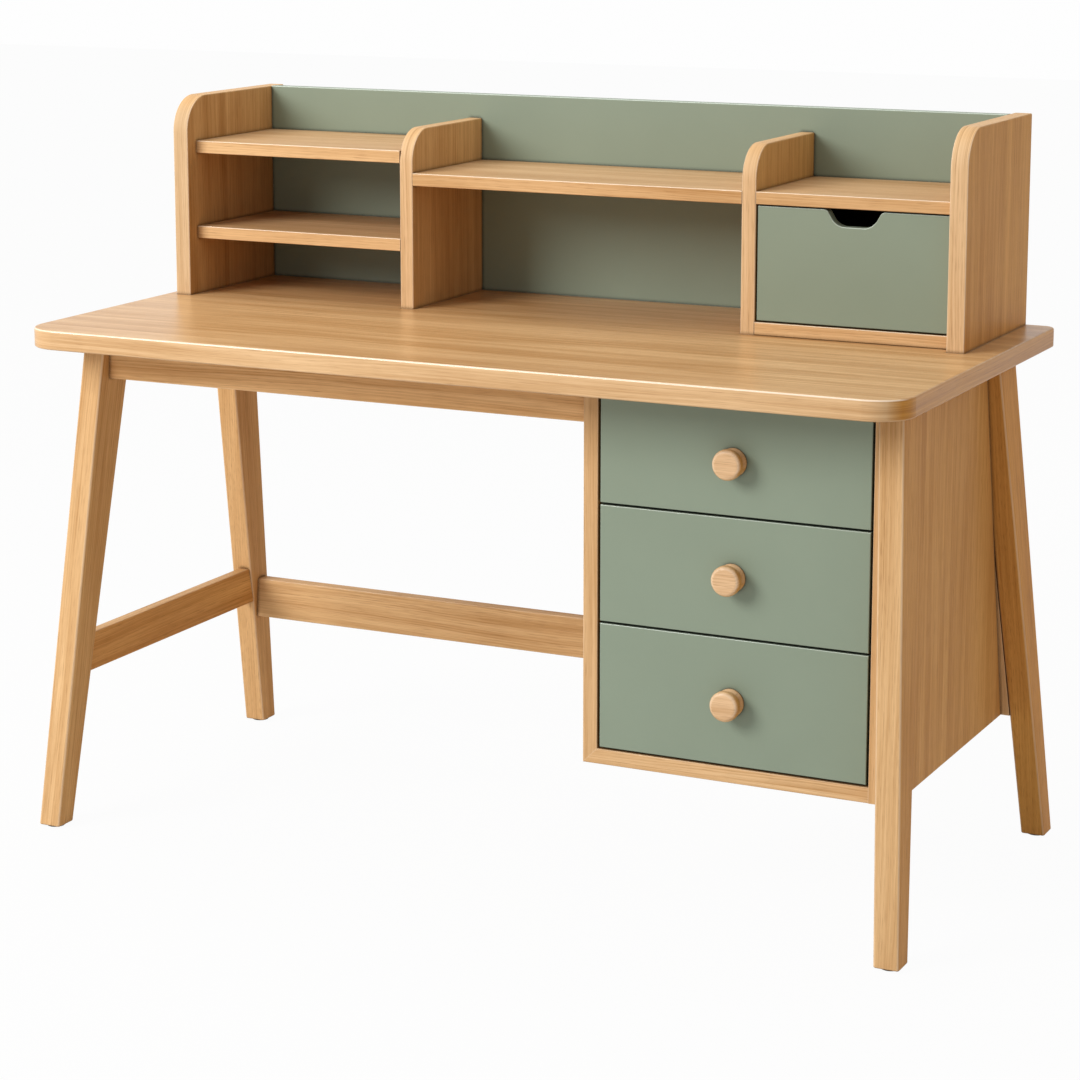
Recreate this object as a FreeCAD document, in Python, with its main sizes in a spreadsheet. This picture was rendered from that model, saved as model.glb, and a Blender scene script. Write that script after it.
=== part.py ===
import FreeCAD, Part
import math
import os
import re
import Sketcher

# A writing desk with a hutch of shelves on its rear edge. +X is the drawer side, -Y the front, +Z up.
# The origin lies on the floor, under the middle of the desktop.

# Driving sizes in millimetres. Each is set once here and kept in the spreadsheet.
SIZES = {
    # Desktop
    "desk_width": 1346,
    "desk_depth": 680,
    "desk_height": 760,
    "top_thickness": 28.5,
    "top_front_radius": 54,
    "top_rear_radius": 18,
    "top_edge_round": 3,
    # Legs. The insets are from the desktop's edges, and each foot reaches further sideways than its top.
    "leg_width": 36,
    "leg_top_depth": 74,
    "leg_foot_depth": 38,
    "front_leg_side_inset": 35,
    "rear_leg_side_inset": 21,
    "foot_side_reach": 41,
    "leg_top_front_inset": 112,
    "leg_foot_front_inset": 18,
    "leg_top_rear_inset": 130,
    "leg_foot_rear_inset": 14,
    "leg_round": 4,
    "foot_round": 2,
    "pad_radius": 13,
    "pad_thickness": 3,
    # Rails under the desktop and stretchers between the legs
    "rail_thickness": 22,
    "side_rail_thickness": 18,
    "apron_height": 60,
    "apron_setback": 14,
    "rail_round": 2,
    "side_stretcher_height": 58,
    "side_stretcher_bottom": 221,
    "back_stretcher_height": 64.5,
    "back_stretcher_bottom": 193.5,
    "corner_block_reach": 70,
    "corner_block_height": 30,
    "block_screw_inset": 17,
    # Drawer case at the right
    "case_width": 454,
    "case_bottom_height": 193,
    "case_board": 22,
    "side_panel_thickness": 34,
    "case_back_thickness": 8,
    "case_lip": 3,
    "case_housing": 24,
    "board_round": 1.5,
    "top_rail_depth": 60,
    "top_rail_thickness": 18,
    "top_rail_setback": 3,
    # Drawers of the case. The shares are of the height between the case's floor and the desktop.
    "lower_drawer_share": 0.352,
    "middle_drawer_share": 0.323,
    "front_thickness": 18,
    "front_side_gap": 3.5,
    "front_joint_gap": 3,
    "front_round": 1.5,
    "box_side_thickness": 14,
    "box_side_gap": 2,
    "box_back_thickness": 12,
    "box_bottom_thickness": 6,
    "box_bottom_inset": 8,
    "box_bottom_groove": 5,
    "box_floor_gap": 12,
    "box_top_gap": 26,
    "box_back_drop": 8,
    "box_rear_gap": 12,
    "runner_height": 15,
    "runner_reach": 6.5,
    "runner_front_gap": 6,
    "slide_clearance": 0.3,
    # Turned knobs and their screws
    "knob_base_radius": 19.5,
    "knob_waist_radius": 15.5,
    "knob_head_radius": 21,
    "knob_projection": 28,
    "knob_base_land": 2,
    "knob_waist_height": 10,
    "knob_head_height": 17,
    "knob_face_round": 6,
    "knob_rim_round": 2.5,
    "knob_waist_round": 5,
    "upper_knob_drop": 8,
    "screw_radius": 2,
    "screw_head_radius": 4.5,
    "screw_head_height": 2.5,
    "screw_clearance": 0.2,
    "knob_screw_engagement": 14,
    "screw_tip_gap": 1,
    # Hutch on the desktop
    "hutch_height": 308.5,
    "hutch_left_inset": 18,
    "hutch_right_inset": 46,
    "hutch_rear_inset": 3,
    "hutch_depth": 289,
    "hutch_side_board": 26,
    "divider_board": 22,
    "hutch_back_inset": 19,
    "hutch_back_thickness": 18,
    "side_corner_radius": 55,
    "divider_corner_radius": 50,
    "divider_height": 271,
    "divider_setback": 24,
    "left_bay_width": 360,
    "right_bay_width": 294,
    "shelf_thickness": 19,
    "right_shelf_thickness": 18,
    "upper_left_shelf_height": 239,
    "lower_left_shelf_height": 106,
    "main_shelf_height": 206,
    "hutch_round": 2,
    # Drawer of the hutch
    "drawer_floor_thickness": 19,
    "small_front_thickness": 16,
    "small_front_recess": 2,
    "small_front_gap": 2,
    "notch_top_width": 82,
    "notch_bottom_width": 54,
    "notch_depth": 24,
    "notch_rim_round": 8,
    "notch_floor_round": 24,
    "small_side_thickness": 12,
    "small_side_gap": 1.5,
    "small_top_gap": 14,
    "small_rear_gap": 10,
    # Screws that hold the desktop and the hutch
    "top_screw_length": 34,
    "hutch_screw_length": 55,
    "hutch_screw_inset": 45,
    "screw_recess": 4,
}

# Sizes and places that follow from the driving ones, each written with names given before it.
DERIVED = {
    # Levels
    "top_bottom": "desk_height - top_thickness",
    "leg_rise": "top_bottom - pad_thickness",
    "apron_bottom": "top_bottom - apron_height",
    # Legs: side faces at the top, then front or rear faces at the top and at the foot
    "front_leg_out": "desk_width / 2 - front_leg_side_inset",
    "front_leg_in": "front_leg_out - leg_width",
    "rear_leg_out": "desk_width / 2 - rear_leg_side_inset",
    "rear_leg_in": "rear_leg_out - leg_width",
    "front_leg_top": "leg_top_front_inset - desk_depth / 2",
    "front_leg_foot": "leg_foot_front_inset - desk_depth / 2",
    "rear_leg_top": "desk_depth / 2 - leg_top_rear_inset",
    "rear_leg_foot": "desk_depth / 2 - leg_foot_rear_inset",
    "front_leg_back": "front_leg_top + leg_top_depth",
    "rear_leg_front": "rear_leg_top - leg_top_depth",
    # How far each leg face moves outwards per unit of height below the desktop
    "side_splay": "foot_side_reach / leg_rise",
    "front_back_splay": "(front_leg_back - front_leg_foot - leg_foot_depth) / leg_rise",
    "rear_front_splay": "(rear_leg_foot - leg_foot_depth - rear_leg_front) / leg_rise",
    "rear_back_splay": "(rear_leg_foot - rear_leg_top) / leg_rise",
    # Rails and stretchers
    "apron_front": "front_leg_top + apron_setback",
    "rear_apron_rear": "rear_leg_top - apron_setback",
    "side_rail_left": "(leg_width - side_rail_thickness - front_leg_out - rear_leg_out) / 2",
    "side_stretcher_top": "side_stretcher_bottom + side_stretcher_height",
    "side_stretcher_drop": "top_bottom - side_stretcher_bottom - side_stretcher_height / 2",
    "side_stretcher_left": "side_rail_left - side_splay * side_stretcher_drop",
    "back_stretcher_top": "back_stretcher_bottom + back_stretcher_height",
    "back_stretcher_drop": "top_bottom - back_stretcher_bottom - back_stretcher_height / 2",
    "back_stretcher_middle": "(rear_leg_top + rear_leg_front"
                             " + (rear_back_splay + rear_front_splay) * back_stretcher_drop) / 2",
    "back_stretcher_front": "back_stretcher_middle - rail_thickness / 2",
    # Drawer case
    "case_right_in": "front_leg_in - case_lip",
    "case_right_out": "case_right_in + side_panel_thickness",
    "case_left_out": "case_right_out - case_width",
    "case_left_in": "case_left_out + case_board",
    "case_floor": "case_bottom_height + case_board",
    "case_front": "front_leg_top",
    "case_rear": "rear_leg_front",
    "case_back_front": "case_rear - case_back_thickness",
    "case_rise": "top_bottom - case_bottom_height",
    "box_front": "case_front + front_thickness",
    "box_rear": "case_back_front - box_rear_gap",
    "box_left": "case_left_in + box_side_gap",
    "box_right": "case_right_in - box_side_gap",
    "drawer_stack": "top_bottom - case_floor",
    "lower_joint": "case_floor + lower_drawer_share * drawer_stack",
    "middle_joint": "lower_joint + middle_drawer_share * drawer_stack",
    "front_left": "case_left_in + front_side_gap",
    "front_right": "case_right_in - front_side_gap",
    "front_centre": "(front_left + front_right) / 2",
    "top_rail_bottom": "top_bottom - top_rail_thickness",
    # Hutch
    "hutch_left": "hutch_left_inset - desk_width / 2",
    "hutch_left_in": "hutch_left + hutch_side_board",
    "hutch_right_in": "desk_width / 2 - hutch_right_inset - hutch_side_board",
    "hutch_rear": "desk_depth / 2 - hutch_rear_inset",
    "hutch_front": "hutch_rear - hutch_depth",
    "hutch_back_rear": "hutch_rear - hutch_back_inset",
    "hutch_back_front": "hutch_back_rear - hutch_back_thickness",
    "shelf_front": "hutch_front + divider_setback",
    "shelf_depth": "hutch_back_front - shelf_front",
    "left_divider": "hutch_left_in + left_bay_width",
    "left_divider_right": "left_divider + divider_board",
    "right_divider_right": "hutch_right_in - right_bay_width",
    "right_divider": "right_divider_right - divider_board",
    "main_shelf_bottom": "desk_height + main_shelf_height - right_shelf_thickness",
    "small_floor": "desk_height + drawer_floor_thickness",
    "small_front_face": "shelf_front + small_front_recess",
    "small_box_front": "small_front_face + small_front_thickness",
    "small_box_rear": "hutch_back_front - small_rear_gap",
    "small_box_bottom": "small_floor + slide_clearance",
    "small_box_top": "main_shelf_bottom - small_top_gap",
    "small_box_left": "right_divider_right + small_side_gap",
    "small_box_right": "hutch_right_in - small_side_gap",
    "screw_hole_radius": "screw_radius + screw_clearance",
    "head_hole_radius": "screw_head_radius + screw_clearance",
}

DRAWERS = {
    "lower": ("case_floor", "lower_joint"),
    "middle": ("lower_joint", "middle_joint"),
    "upper": ("middle_joint", "top_bottom"),
}

OUT = "parts"
NEAR = 0.001
TILT_AXIS = FreeCAD.Vector(1, 0, 0)

doc = FreeCAD.newDocument("DeskWithShelves")
nodes = []


def bound(formula):
    """A formula in the names above, with each name pointed at the cell or derived value that holds it."""
    def point(match):
        word = match.group(0)
        if word in SIZES:
            return "Sizes." + word
        if word in DERIVED:
            return "Places." + word
        raise KeyError(word)
    return re.sub(r"[a-z]\w*", point, formula)


def link(thing, prop, formula):
    thing.setExpression(prop, bound(formula))


def fill_sheet():
    sheet = doc.addObject("Spreadsheet::Sheet", "Sizes")
    for row, (name, size) in enumerate(SIZES.items(), 1):
        sheet.set(f"A{row}", name)
        sheet.set(f"B{row}", str(size))
        sheet.setAlias(f"B{row}", name)
    doc.recompute()
    places = doc.addObject("App::VarSet", "Places")
    for name, formula in DERIVED.items():
        places.addProperty("App::PropertyFloat", name)
        link(places, name, formula)
        doc.recompute()


def place(thing, x, y, z):
    for axis, formula in zip("xyz", (x, y, z)):
        link(thing, f"Placement.Base.{axis}", formula)


def new_body(name, x, y, z):
    body = doc.addObject("PartDesign::Body", name)
    body.Label = name
    place(body, x, y, z)
    nodes.append(body)
    return body


def new_sketch(body, role, name):
    sketch = body.newObject("Sketcher::SketchObject", f"{body.Label}_{name}")
    plane = next(p for p in body.Origin.OriginFeatures if p.Role == role)
    sketch.AttachmentSupport = [(plane, "")]
    sketch.MapMode = "FlatFace"
    return sketch


def outline(sketch, points):
    """A closed run of straight lines through points, each held by its two distances from the origin."""
    count = len(points)
    turn = 2 * math.pi / count
    spots = [FreeCAD.Vector(math.cos(turn * i), math.sin(turn * i), 0) for i in range(count)]
    first = sketch.GeometryCount
    for i in range(count):
        sketch.addGeometry(Part.LineSegment(spots[i], spots[(i + 1) % count]), False)
    for i in range(count):
        following = first + (i + 1) % count
        sketch.addConstraint(Sketcher.Constraint("Coincident", first + i, 2, following, 1))
    for i, (u, v) in enumerate(points):
        for kind, formula, start in (("DistanceX", u, spots[i].x), ("DistanceY", v, spots[i].y)):
            held = sketch.addConstraint(Sketcher.Constraint(kind, -1, 1, first + i, 1, start))
            link(sketch, f"Constraints[{held}]", formula)


def rectangle(sketch, left, right, low, high):
    outline(sketch, [(left, low), (right, low), (right, high), (left, high)])


def circles(sketch, centres, radius):
    for u, v in centres:
        geometry = sketch.addGeometry(
            Part.Circle(FreeCAD.Vector(0, 0, 0), FreeCAD.Vector(0, 0, 1), 1), False)
        for kind, formula in (("DistanceX", u), ("DistanceY", v)):
            held = sketch.addConstraint(Sketcher.Constraint(kind, -1, 1, geometry, 3, 1))
            link(sketch, f"Constraints[{held}]", formula)
        held = sketch.addConstraint(Sketcher.Constraint("Radius", geometry, 1))
        link(sketch, f"Constraints[{held}]", radius)


def pad(body, sketch, length, reverse=False):
    feature = body.newObject("PartDesign::Pad", f"{body.Label}_pad")
    feature.Profile = sketch
    feature.Reversed = reverse
    link(feature, "Length", length)
    sketch.Visibility = False
    return feature


def drill(body, role, name, centres, radius, depth, reverse):
    """Round holes from the body's own origin plane. The volume has to drop, or the holes point out of it."""
    doc.recompute()
    before = body.Shape.Volume
    sketch = new_sketch(body, role, name)
    circles(sketch, centres, radius)
    feature = body.newObject("PartDesign::Pocket", f"{body.Label}_{name}_cut")
    feature.Profile = sketch
    feature.Reversed = reverse
    link(feature, "Length", depth)
    doc.recompute()
    if body.Shape.Volume > before - NEAR:
        raise ValueError(f"{body.Label}: {name} cuts nothing")


def touches(edge, shape, side):
    """True for an edge that lies wholly in one outer plane of the shape."""
    axis, end = {
        "left": ("x", min), "right": ("x", max), "front": ("y", min),
        "rear": ("y", max), "bottom": ("z", min), "top": ("z", max),
    }[side]
    plane = end(getattr(vertex.Point, axis) for vertex in shape.Vertexes)
    return all(abs(getattr(point, axis) - plane) < NEAR for point in edge.discretize(3))


def round_edges(body, name, radius, pick):
    """A fillet on the edges that pick chooses, given each edge and a test for outer planes."""
    doc.recompute()
    base = body.Tip
    shape = base.Shape
    chosen = [
        f"Edge{i}" for i, edge in enumerate(shape.Edges, 1)
        if pick(edge, lambda *sides, edge=edge: all(touches(edge, shape, side) for side in sides))
    ]
    if not chosen:
        raise ValueError(f"{body.Label}: {name} finds no edge")
    feature = body.newObject("PartDesign::Fillet", f"{body.Label}_{name}")
    feature.Base = (base, chosen)
    link(feature, "Radius", radius)


def board(name, x, y, z):
    """A square-edged board between two places on each axis."""
    body = new_body(name, x[0], y[0], z[0])
    sketch = new_sketch(body, "XY_Plane", "outline")
    rectangle(sketch, "0", f"{x[1]} - ({x[0]})", "0", f"{y[1]} - ({y[0]})")
    pad(body, sketch, f"{z[1]} - ({z[0]})")
    return body


def run_along_x(name, x, y, z, points):
    """A piece with its outline in the YZ plane, padded along X. The points are measured from y and z."""
    body = new_body(name, x[0], y, z)
    sketch = new_sketch(body, "YZ_Plane", "outline")
    outline(sketch, points)
    pad(body, sketch, f"{x[1]} - ({x[0]})")
    return body


def run_along_y(name, x, y, z, points):
    """A piece with its outline in the XZ plane, padded backwards. The points are measured from x and z."""
    body = new_body(name, x, y[0], z)
    sketch = new_sketch(body, "XZ_Plane", "outline")
    outline(sketch, points)
    pad(body, sketch, f"{y[1]} - ({y[0]})", reverse=True)
    return body


def group(name, members):
    """Several like solids that share one node."""
    compound = doc.addObject("Part::Compound", name)
    compound.Label = name
    compound.Links = members
    nodes.append(compound)
    return compound


def rod(name, radius, height, x, y, z):
    cylinder = doc.addObject("Part::Cylinder", name)
    link(cylinder, "Radius", radius)
    link(cylinder, "Height", height)
    place(cylinder, x, y, z)
    return cylinder


def upright_screw(name, length, x, y, z):
    """A pan-headed screw that points up, with the underside of its head at z."""
    head = rod(f"{name}_head", "screw_head_radius", "screw_head_height", x, y, f"{z} - screw_head_height")
    shank = rod(f"{name}_shank", "screw_radius", length, x, y, z)
    screw = doc.addObject("Part::Fuse", name)
    screw.Base = head
    screw.Tool = shank
    return screw


# Where the screws stand: two in each top rail of the case, one in each corner block, two under each upright.
TOP_RAIL_SHARES = (0.25, 0.75)
RAIL_SCREW_X = [f"case_left_in + (case_right_in - case_left_in) * {share}" for share in TOP_RAIL_SHARES]
RAIL_SCREW_Y = {
    "front": "box_front + top_rail_setback + top_rail_depth / 2",
    "rear": "case_back_front - top_rail_depth / 2",
}
BLOCK_SCREWS = {
    "front": ("-front_leg_in + block_screw_inset", "front_leg_back + block_screw_inset"),
    "rear": ("-rear_leg_in + block_screw_inset", "rear_leg_front - block_screw_inset"),
}
TOP_SCREWS = {
    **{f"rail_{end}_{i}": (x, y, "top_rail_bottom")
       for end, y in RAIL_SCREW_Y.items() for i, x in enumerate(RAIL_SCREW_X)},
    **{f"block_{end}": (x, y, "top_bottom - corner_block_height")
       for end, (x, y) in BLOCK_SCREWS.items()},
}
UPRIGHTS = {
    "hutch_side_left": ("hutch_left", "hutch_side_board"),
    "hutch_divider_left": ("left_divider", "divider_board"),
    "hutch_divider_right": ("right_divider", "divider_board"),
    "hutch_side_right": ("hutch_right_in", "hutch_side_board"),
}
HUTCH_SCREW_Y = ("shelf_front + hutch_screw_inset", "hutch_back_front - hutch_screw_inset")
HUTCH_SCREWS = {
    f"{upright}_{i}": (f"{x} + {thickness} / 2", y, "top_bottom + screw_recess")
    for upright, (x, thickness) in UPRIGHTS.items() for i, y in enumerate(HUTCH_SCREW_Y)
}


def desktop():
    left, front = "desk_width / 2", "desk_depth / 2"
    body = board("desktop", (f"-{left}", left), (f"-{front}", front), ("top_bottom", "desk_height"))
    round_edges(body, "front_corners", "top_front_radius",
                lambda e, on: on("front", "left") or on("front", "right"))
    round_edges(body, "rear_corners", "top_rear_radius",
                lambda e, on: on("rear", "left") or on("rear", "right"))
    round_edges(body, "edges", "top_edge_round", lambda e, on: on("top") or on("bottom"))

    def local(screws):
        return [(f"{x} + {left}", f"{y} + {front}") for x, y, _ in screws.values()]

    rail_bite = "top_screw_length - top_rail_thickness + screw_tip_gap"
    block_bite = "top_screw_length - corner_block_height + screw_tip_gap"
    rails = {k: v for k, v in TOP_SCREWS.items() if k.startswith("rail")}
    blocks = {k: v for k, v in TOP_SCREWS.items() if k.startswith("block")}
    drill(body, "XY_Plane", "rail_holes", local(rails), "screw_hole_radius", rail_bite, True)
    drill(body, "XY_Plane", "block_holes", local(blocks), "screw_hole_radius", block_bite, True)
    hutch = local(HUTCH_SCREWS)
    drill(body, "XY_Plane", "hutch_holes", hutch, "screw_hole_radius", "top_thickness", True)
    drill(body, "XY_Plane", "hutch_head_holes", hutch, "head_hole_radius", "screw_recess", True)


def leg_corners(side, end):
    """The low corner of a leg's foot and of its top: (foot x, foot y, top x, top y)."""
    top_x = f"-{end}_leg_out" if side == "left" else f"{end}_leg_in"
    foot_x = f"{top_x} - foot_side_reach" if side == "left" else f"{top_x} + foot_side_reach"
    foot_y, top_y = ("front_leg_foot", "front_leg_top") if end == "front" else (
        "rear_leg_foot - leg_foot_depth", "rear_leg_top - leg_top_depth")
    return foot_x, foot_y, top_x, top_y


def leg_wedge(body, kind, side, end, origin):
    """A leg's square-edged form between its foot and its top, measured from an origin (x, y, z)."""
    foot_x, foot_y, top_x, top_y = leg_corners(side, end)
    wedge = body.newObject(f"PartDesign::{kind}Wedge", f"{body.Label}_{end}_wedge")
    # The wedge tapers along its own Y, which stands upright here, so its Z runs forwards.
    wedge.Placement = FreeCAD.Placement(FreeCAD.Vector(), FreeCAD.Rotation(TILT_AXIS, 90))
    for prop, formula in (
        ("Ymin", f"pad_thickness - ({origin[2]})"),
        ("Ymax", f"top_bottom - ({origin[2]})"),
        ("Xmin", f"{foot_x} - ({origin[0]})"),
        ("Xmax", f"{foot_x} - ({origin[0]}) + leg_width"),
        ("X2min", f"{top_x} - ({origin[0]})"),
        ("X2max", f"{top_x} - ({origin[0]}) + leg_width"),
        ("Zmin", f"{origin[1]} - ({foot_y}) - leg_foot_depth"),
        ("Zmax", f"{origin[1]} - ({foot_y})"),
        ("Z2min", f"{origin[1]} - ({top_y}) - leg_top_depth"),
        ("Z2max", f"{origin[1]} - ({top_y})"),
    ):
        link(wedge, prop, formula)


def leg(side, end):
    """A tapered leg that splays sideways and towards its end of the desk."""
    foot_x, foot_y, _, _ = leg_corners(side, end)
    origin = (foot_x, foot_y, "pad_thickness")
    body = new_body(f"leg_{end}_{side}", *origin)
    leg_wedge(body, "Additive", side, end, origin)
    round_edges(body, "long_edges", "leg_round", lambda e, on: not on("top") and not on("bottom"))
    round_edges(body, "foot_edges", "foot_round", lambda e, on: on("bottom"))


def foot_pads():
    pads = []
    for side in ("left", "right"):
        for end in ("front", "rear"):
            foot_x, foot_y, _, _ = leg_corners(side, end)
            pads.append(rod(f"pad_{end}_{side}", "pad_radius", "pad_thickness",
                            f"{foot_x} + leg_width / 2", f"{foot_y} + leg_foot_depth / 2", "0"))
    group("foot_pads", pads)


def cross_rail(name, low, high, front, leg_in, right=None):
    """A rail from a left leg to a place or else to the right leg. Its ends follow the slant of the legs."""
    height = f"{high} - {low}"
    low_spread = f"side_splay * (top_bottom - {low})"
    high_spread = f"side_splay * (top_bottom - {high})"
    start = f"-{leg_in} - {low_spread}"
    left_top = f"{low_spread} - {high_spread}"
    right_low = right_high = f"{right} - ({start})"
    if not right:
        right_low = f"{leg_in} + {low_spread} - ({start})"
        right_high = f"{leg_in} + {high_spread} - ({start})"
    return run_along_y(name, start, (front, f"{front} + rail_thickness"), low,
                       [("0", "0"), (right_low, "0"), (right_high, height), (left_top, height)])


def side_rail(name, low, high, left):
    """A rail along Y between the two left legs, with ends that follow their slant."""
    height = f"{high} - {low}"
    start = f"front_leg_back - front_back_splay * (top_bottom - {low})"
    front_top = f"front_leg_back - front_back_splay * (top_bottom - {high}) - ({start})"
    rear_low = f"rear_leg_front + rear_front_splay * (top_bottom - {low}) - ({start})"
    rear_top = f"rear_leg_front + rear_front_splay * (top_bottom - {high}) - ({start})"
    return run_along_x(name, (left, f"{left} + side_rail_thickness"), start, low,
                       [("0", "0"), (rear_low, "0"), (rear_top, height), (front_top, height)])


def rails_and_stretchers():
    aprons = [
        cross_rail("apron_front", "apron_bottom", "top_bottom", "apron_front", "front_leg_in",
                   "case_left_out"),
        cross_rail("apron_rear", "apron_bottom", "top_bottom", "rear_apron_rear - rail_thickness",
                   "rear_leg_in"),
    ]
    for body in aprons:
        round_edges(body, "lower_edges", "rail_round",
                    lambda e, on: on("bottom", "front") or on("bottom", "rear"))
    body = side_rail("rail_left", "apron_bottom", "top_bottom", "side_rail_left")
    round_edges(body, "lower_edges", "rail_round",
                lambda e, on: on("bottom", "left") or on("bottom", "right"))
    body = side_rail("stretcher_left", "side_stretcher_bottom", "side_stretcher_top", "side_stretcher_left")
    round_edges(body, "long_edges", "rail_round",
                lambda e, on: (on("bottom") or on("top")) and (on("left") or on("right")))
    body = cross_rail("stretcher_back", "back_stretcher_bottom", "back_stretcher_top",
                      "back_stretcher_front", "rear_leg_in")
    round_edges(body, "long_edges", "rail_round",
                lambda e, on: (on("bottom") or on("top")) and (on("front") or on("rear")))


def corner_blocks():
    """Five-sided blocks in the corners between the left side rail, the two aprons and the legs."""
    blocks = []
    rail_face = "side_rail_left + side_rail_thickness"
    for end, leg_face, apron_face, sign in (
        ("front", "front_leg_back", "apron_front + rail_thickness", "+"),
        ("rear", "rear_leg_front", "rear_apron_rear - rail_thickness", "-"),
    ):
        body = doc.addObject("PartDesign::Body", f"corner_block_{end}")
        place(body, "0", "0", "top_bottom - corner_block_height")
        sketch = new_sketch(body, "XY_Plane", "outline")
        outline(sketch, [
            (f"-{end}_leg_in", leg_face),
            (f"-{end}_leg_in", apron_face),
            (f"-{end}_leg_in + corner_block_reach", apron_face),
            (rail_face, f"{leg_face} {sign} corner_block_reach"),
            (rail_face, leg_face),
        ])
        pad(body, sketch, "corner_block_height")
        drill(body, "XY_Plane", "screw_hole", [BLOCK_SCREWS[end]], "screw_hole_radius",
              "corner_block_height", True)
        blocks.append(body)
    group("corner_blocks", blocks)


def case_left_side():
    """The case's left board, mitred at its lower end to meet the bottom board."""
    mitre = ("case_board", "case_board")
    body = run_along_y("case_side_left", "case_left_out", ("case_front", "case_rear"), "case_bottom_height",
                       [("0", "0"), mitre, ("case_board", "case_rise"), ("0", "case_rise")])
    round_edges(body, "front_edges", "board_round",
                lambda e, on: on("front", "left") or on("front", "right"))


def case_bottom():
    """The case's bottom board, mitred at its left end."""
    width = "case_right_in - case_left_out"
    body = run_along_y("case_bottom", "case_left_out", ("case_front", "case_rear"), "case_bottom_height",
                       [("0", "0"), (width, "0"), (width, "case_board"), ("case_board", "case_board")])
    round_edges(body, "front_edges", "board_round",
                lambda e, on: on("front", "bottom") or on("front", "top"))


def case_right_side():
    """The side panel that both right legs are let into. Its rear edge rests on the back stretcher."""
    origin = ("case_right_in", "case_front", "case_bottom_height")
    leg_top = "case_rear - case_front"
    leg_low = f"{leg_top} + rear_front_splay * case_rise"
    rear_top = f"{leg_top} + case_housing"
    rear_low = f"{rear_top} + rear_front_splay * (top_bottom - back_stretcher_top)"
    notch = ("back_stretcher_front - case_front", "back_stretcher_top - case_bottom_height")
    rear_edge = [(notch[0], "0"), notch, (rear_low, notch[1]), (rear_top, "case_rise")]
    body = run_along_x("case_side_right", ("case_right_in", "case_right_out"), origin[1], origin[2],
                       [("0", "0"), *rear_edge, ("0", "case_rise")])
    # A tongue behind the front face of the rear leg fills the width up to the leg, which splays away.
    tongue = new_sketch(body, "YZ_Plane", "tongue")
    outline(tongue, [(leg_low, "0"), *rear_edge, (leg_top, "case_rise")])
    pad(body, tongue, "rear_leg_in + side_splay * case_rise - case_right_in")
    for end in ("front", "rear"):
        doc.recompute()
        before = body.Shape.Volume
        leg_wedge(body, "Subtractive", "right", end, origin)
        doc.recompute()
        if body.Shape.Volume > before - NEAR:
            raise ValueError(f"case_side_right: the {end} leg's housing cuts nothing")


def case_inside():
    inside = ("case_left_in", "case_right_in")
    board("case_back", inside, ("case_back_front", "case_rear"), ("case_floor", "top_bottom"))
    half = "top_rail_depth / 2"
    for end, middle in RAIL_SCREW_Y.items():
        body = board(f"case_top_rail_{end}", inside, (f"{middle} - {half}", f"{middle} + {half}"),
                     ("top_rail_bottom", "top_bottom"))
        centres = [(f"{x} - case_left_in", half) for x in RAIL_SCREW_X]
        drill(body, "XY_Plane", "screw_holes", centres, "screw_hole_radius", "top_rail_thickness", True)


def runner_level(low, high):
    """The height of a runner's middle: the middle of the drawer's side."""
    return f"({low} + box_floor_gap + {high} - box_top_gap) / 2"


def drawer_runners():
    """Hardwood strips on the case's sides, one in the groove of each drawer side."""
    strips = []
    for word, (low, high) in DRAWERS.items():
        for side, x in (("left", "case_left_in"), ("right", "case_right_in - box_side_gap - runner_reach")):
            strip = doc.addObject("Part::Box", f"runner_{word}_{side}")
            link(strip, "Length", "box_side_gap + runner_reach")
            link(strip, "Width", "box_rear - box_front - runner_front_gap")
            link(strip, "Height", "runner_height")
            place(strip, x, "box_front + runner_front_gap", f"{runner_level(low, high)} - runner_height / 2")
            strips.append(strip)
    group("drawer_runners", strips)


def box_side(name, side, left, right, y, low, high, thickness, runner):
    """A drawer's side board, grooved for the drawer's bottom and for a runner if it hangs on one."""
    height = f"{high} - ({low})"
    floor_low = "box_bottom_inset"
    floor_high = "box_bottom_inset + box_bottom_thickness"
    floor_in = f"{thickness} - box_bottom_groove"
    profile = [("0", "0"), (thickness, "0"), (thickness, floor_low), (floor_in, floor_low),
               (floor_in, floor_high), (thickness, floor_high), (thickness, height), ("0", height)]
    if runner:
        groove = "runner_reach + slide_clearance"
        half = "runner_height / 2 + slide_clearance"
        middle = f"{runner} - ({low})"
        profile += [("0", f"{middle} + {half}"), (groove, f"{middle} + {half}"),
                    (groove, f"{middle} - ({half})"), ("0", f"{middle} - ({half})")]
    if side == "right":
        profile = [(f"{thickness} - ({u})", v) for u, v in profile]
    start = left if side == "left" else f"{right} - {thickness}"
    return run_along_y(name, start, y, low, profile)


def drawer_box(prefix, x, y, z, thickness, runner=None):
    """Two sides, a back that stands on the bottom, and the bottom in the sides' grooves."""
    for side in ("left", "right"):
        box_side(f"{prefix}_side_{side}", side, x[0], x[1], y, z[0], z[1], thickness, runner)
    back_bottom = f"{z[0]} + box_bottom_inset + box_bottom_thickness"
    board(f"{prefix}_back", (f"{x[0]} + {thickness}", f"{x[1]} - {thickness}"),
          (f"{y[1]} - box_back_thickness", y[1]), (back_bottom, f"{z[1]} - box_back_drop"))
    floor_inset = f"{thickness} - box_bottom_groove"
    board(f"{prefix}_bottom", (f"{x[0]} + {floor_inset}", f"{x[1]} - ({floor_inset})"), y,
          (f"{z[0]} + box_bottom_inset", back_bottom))


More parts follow.
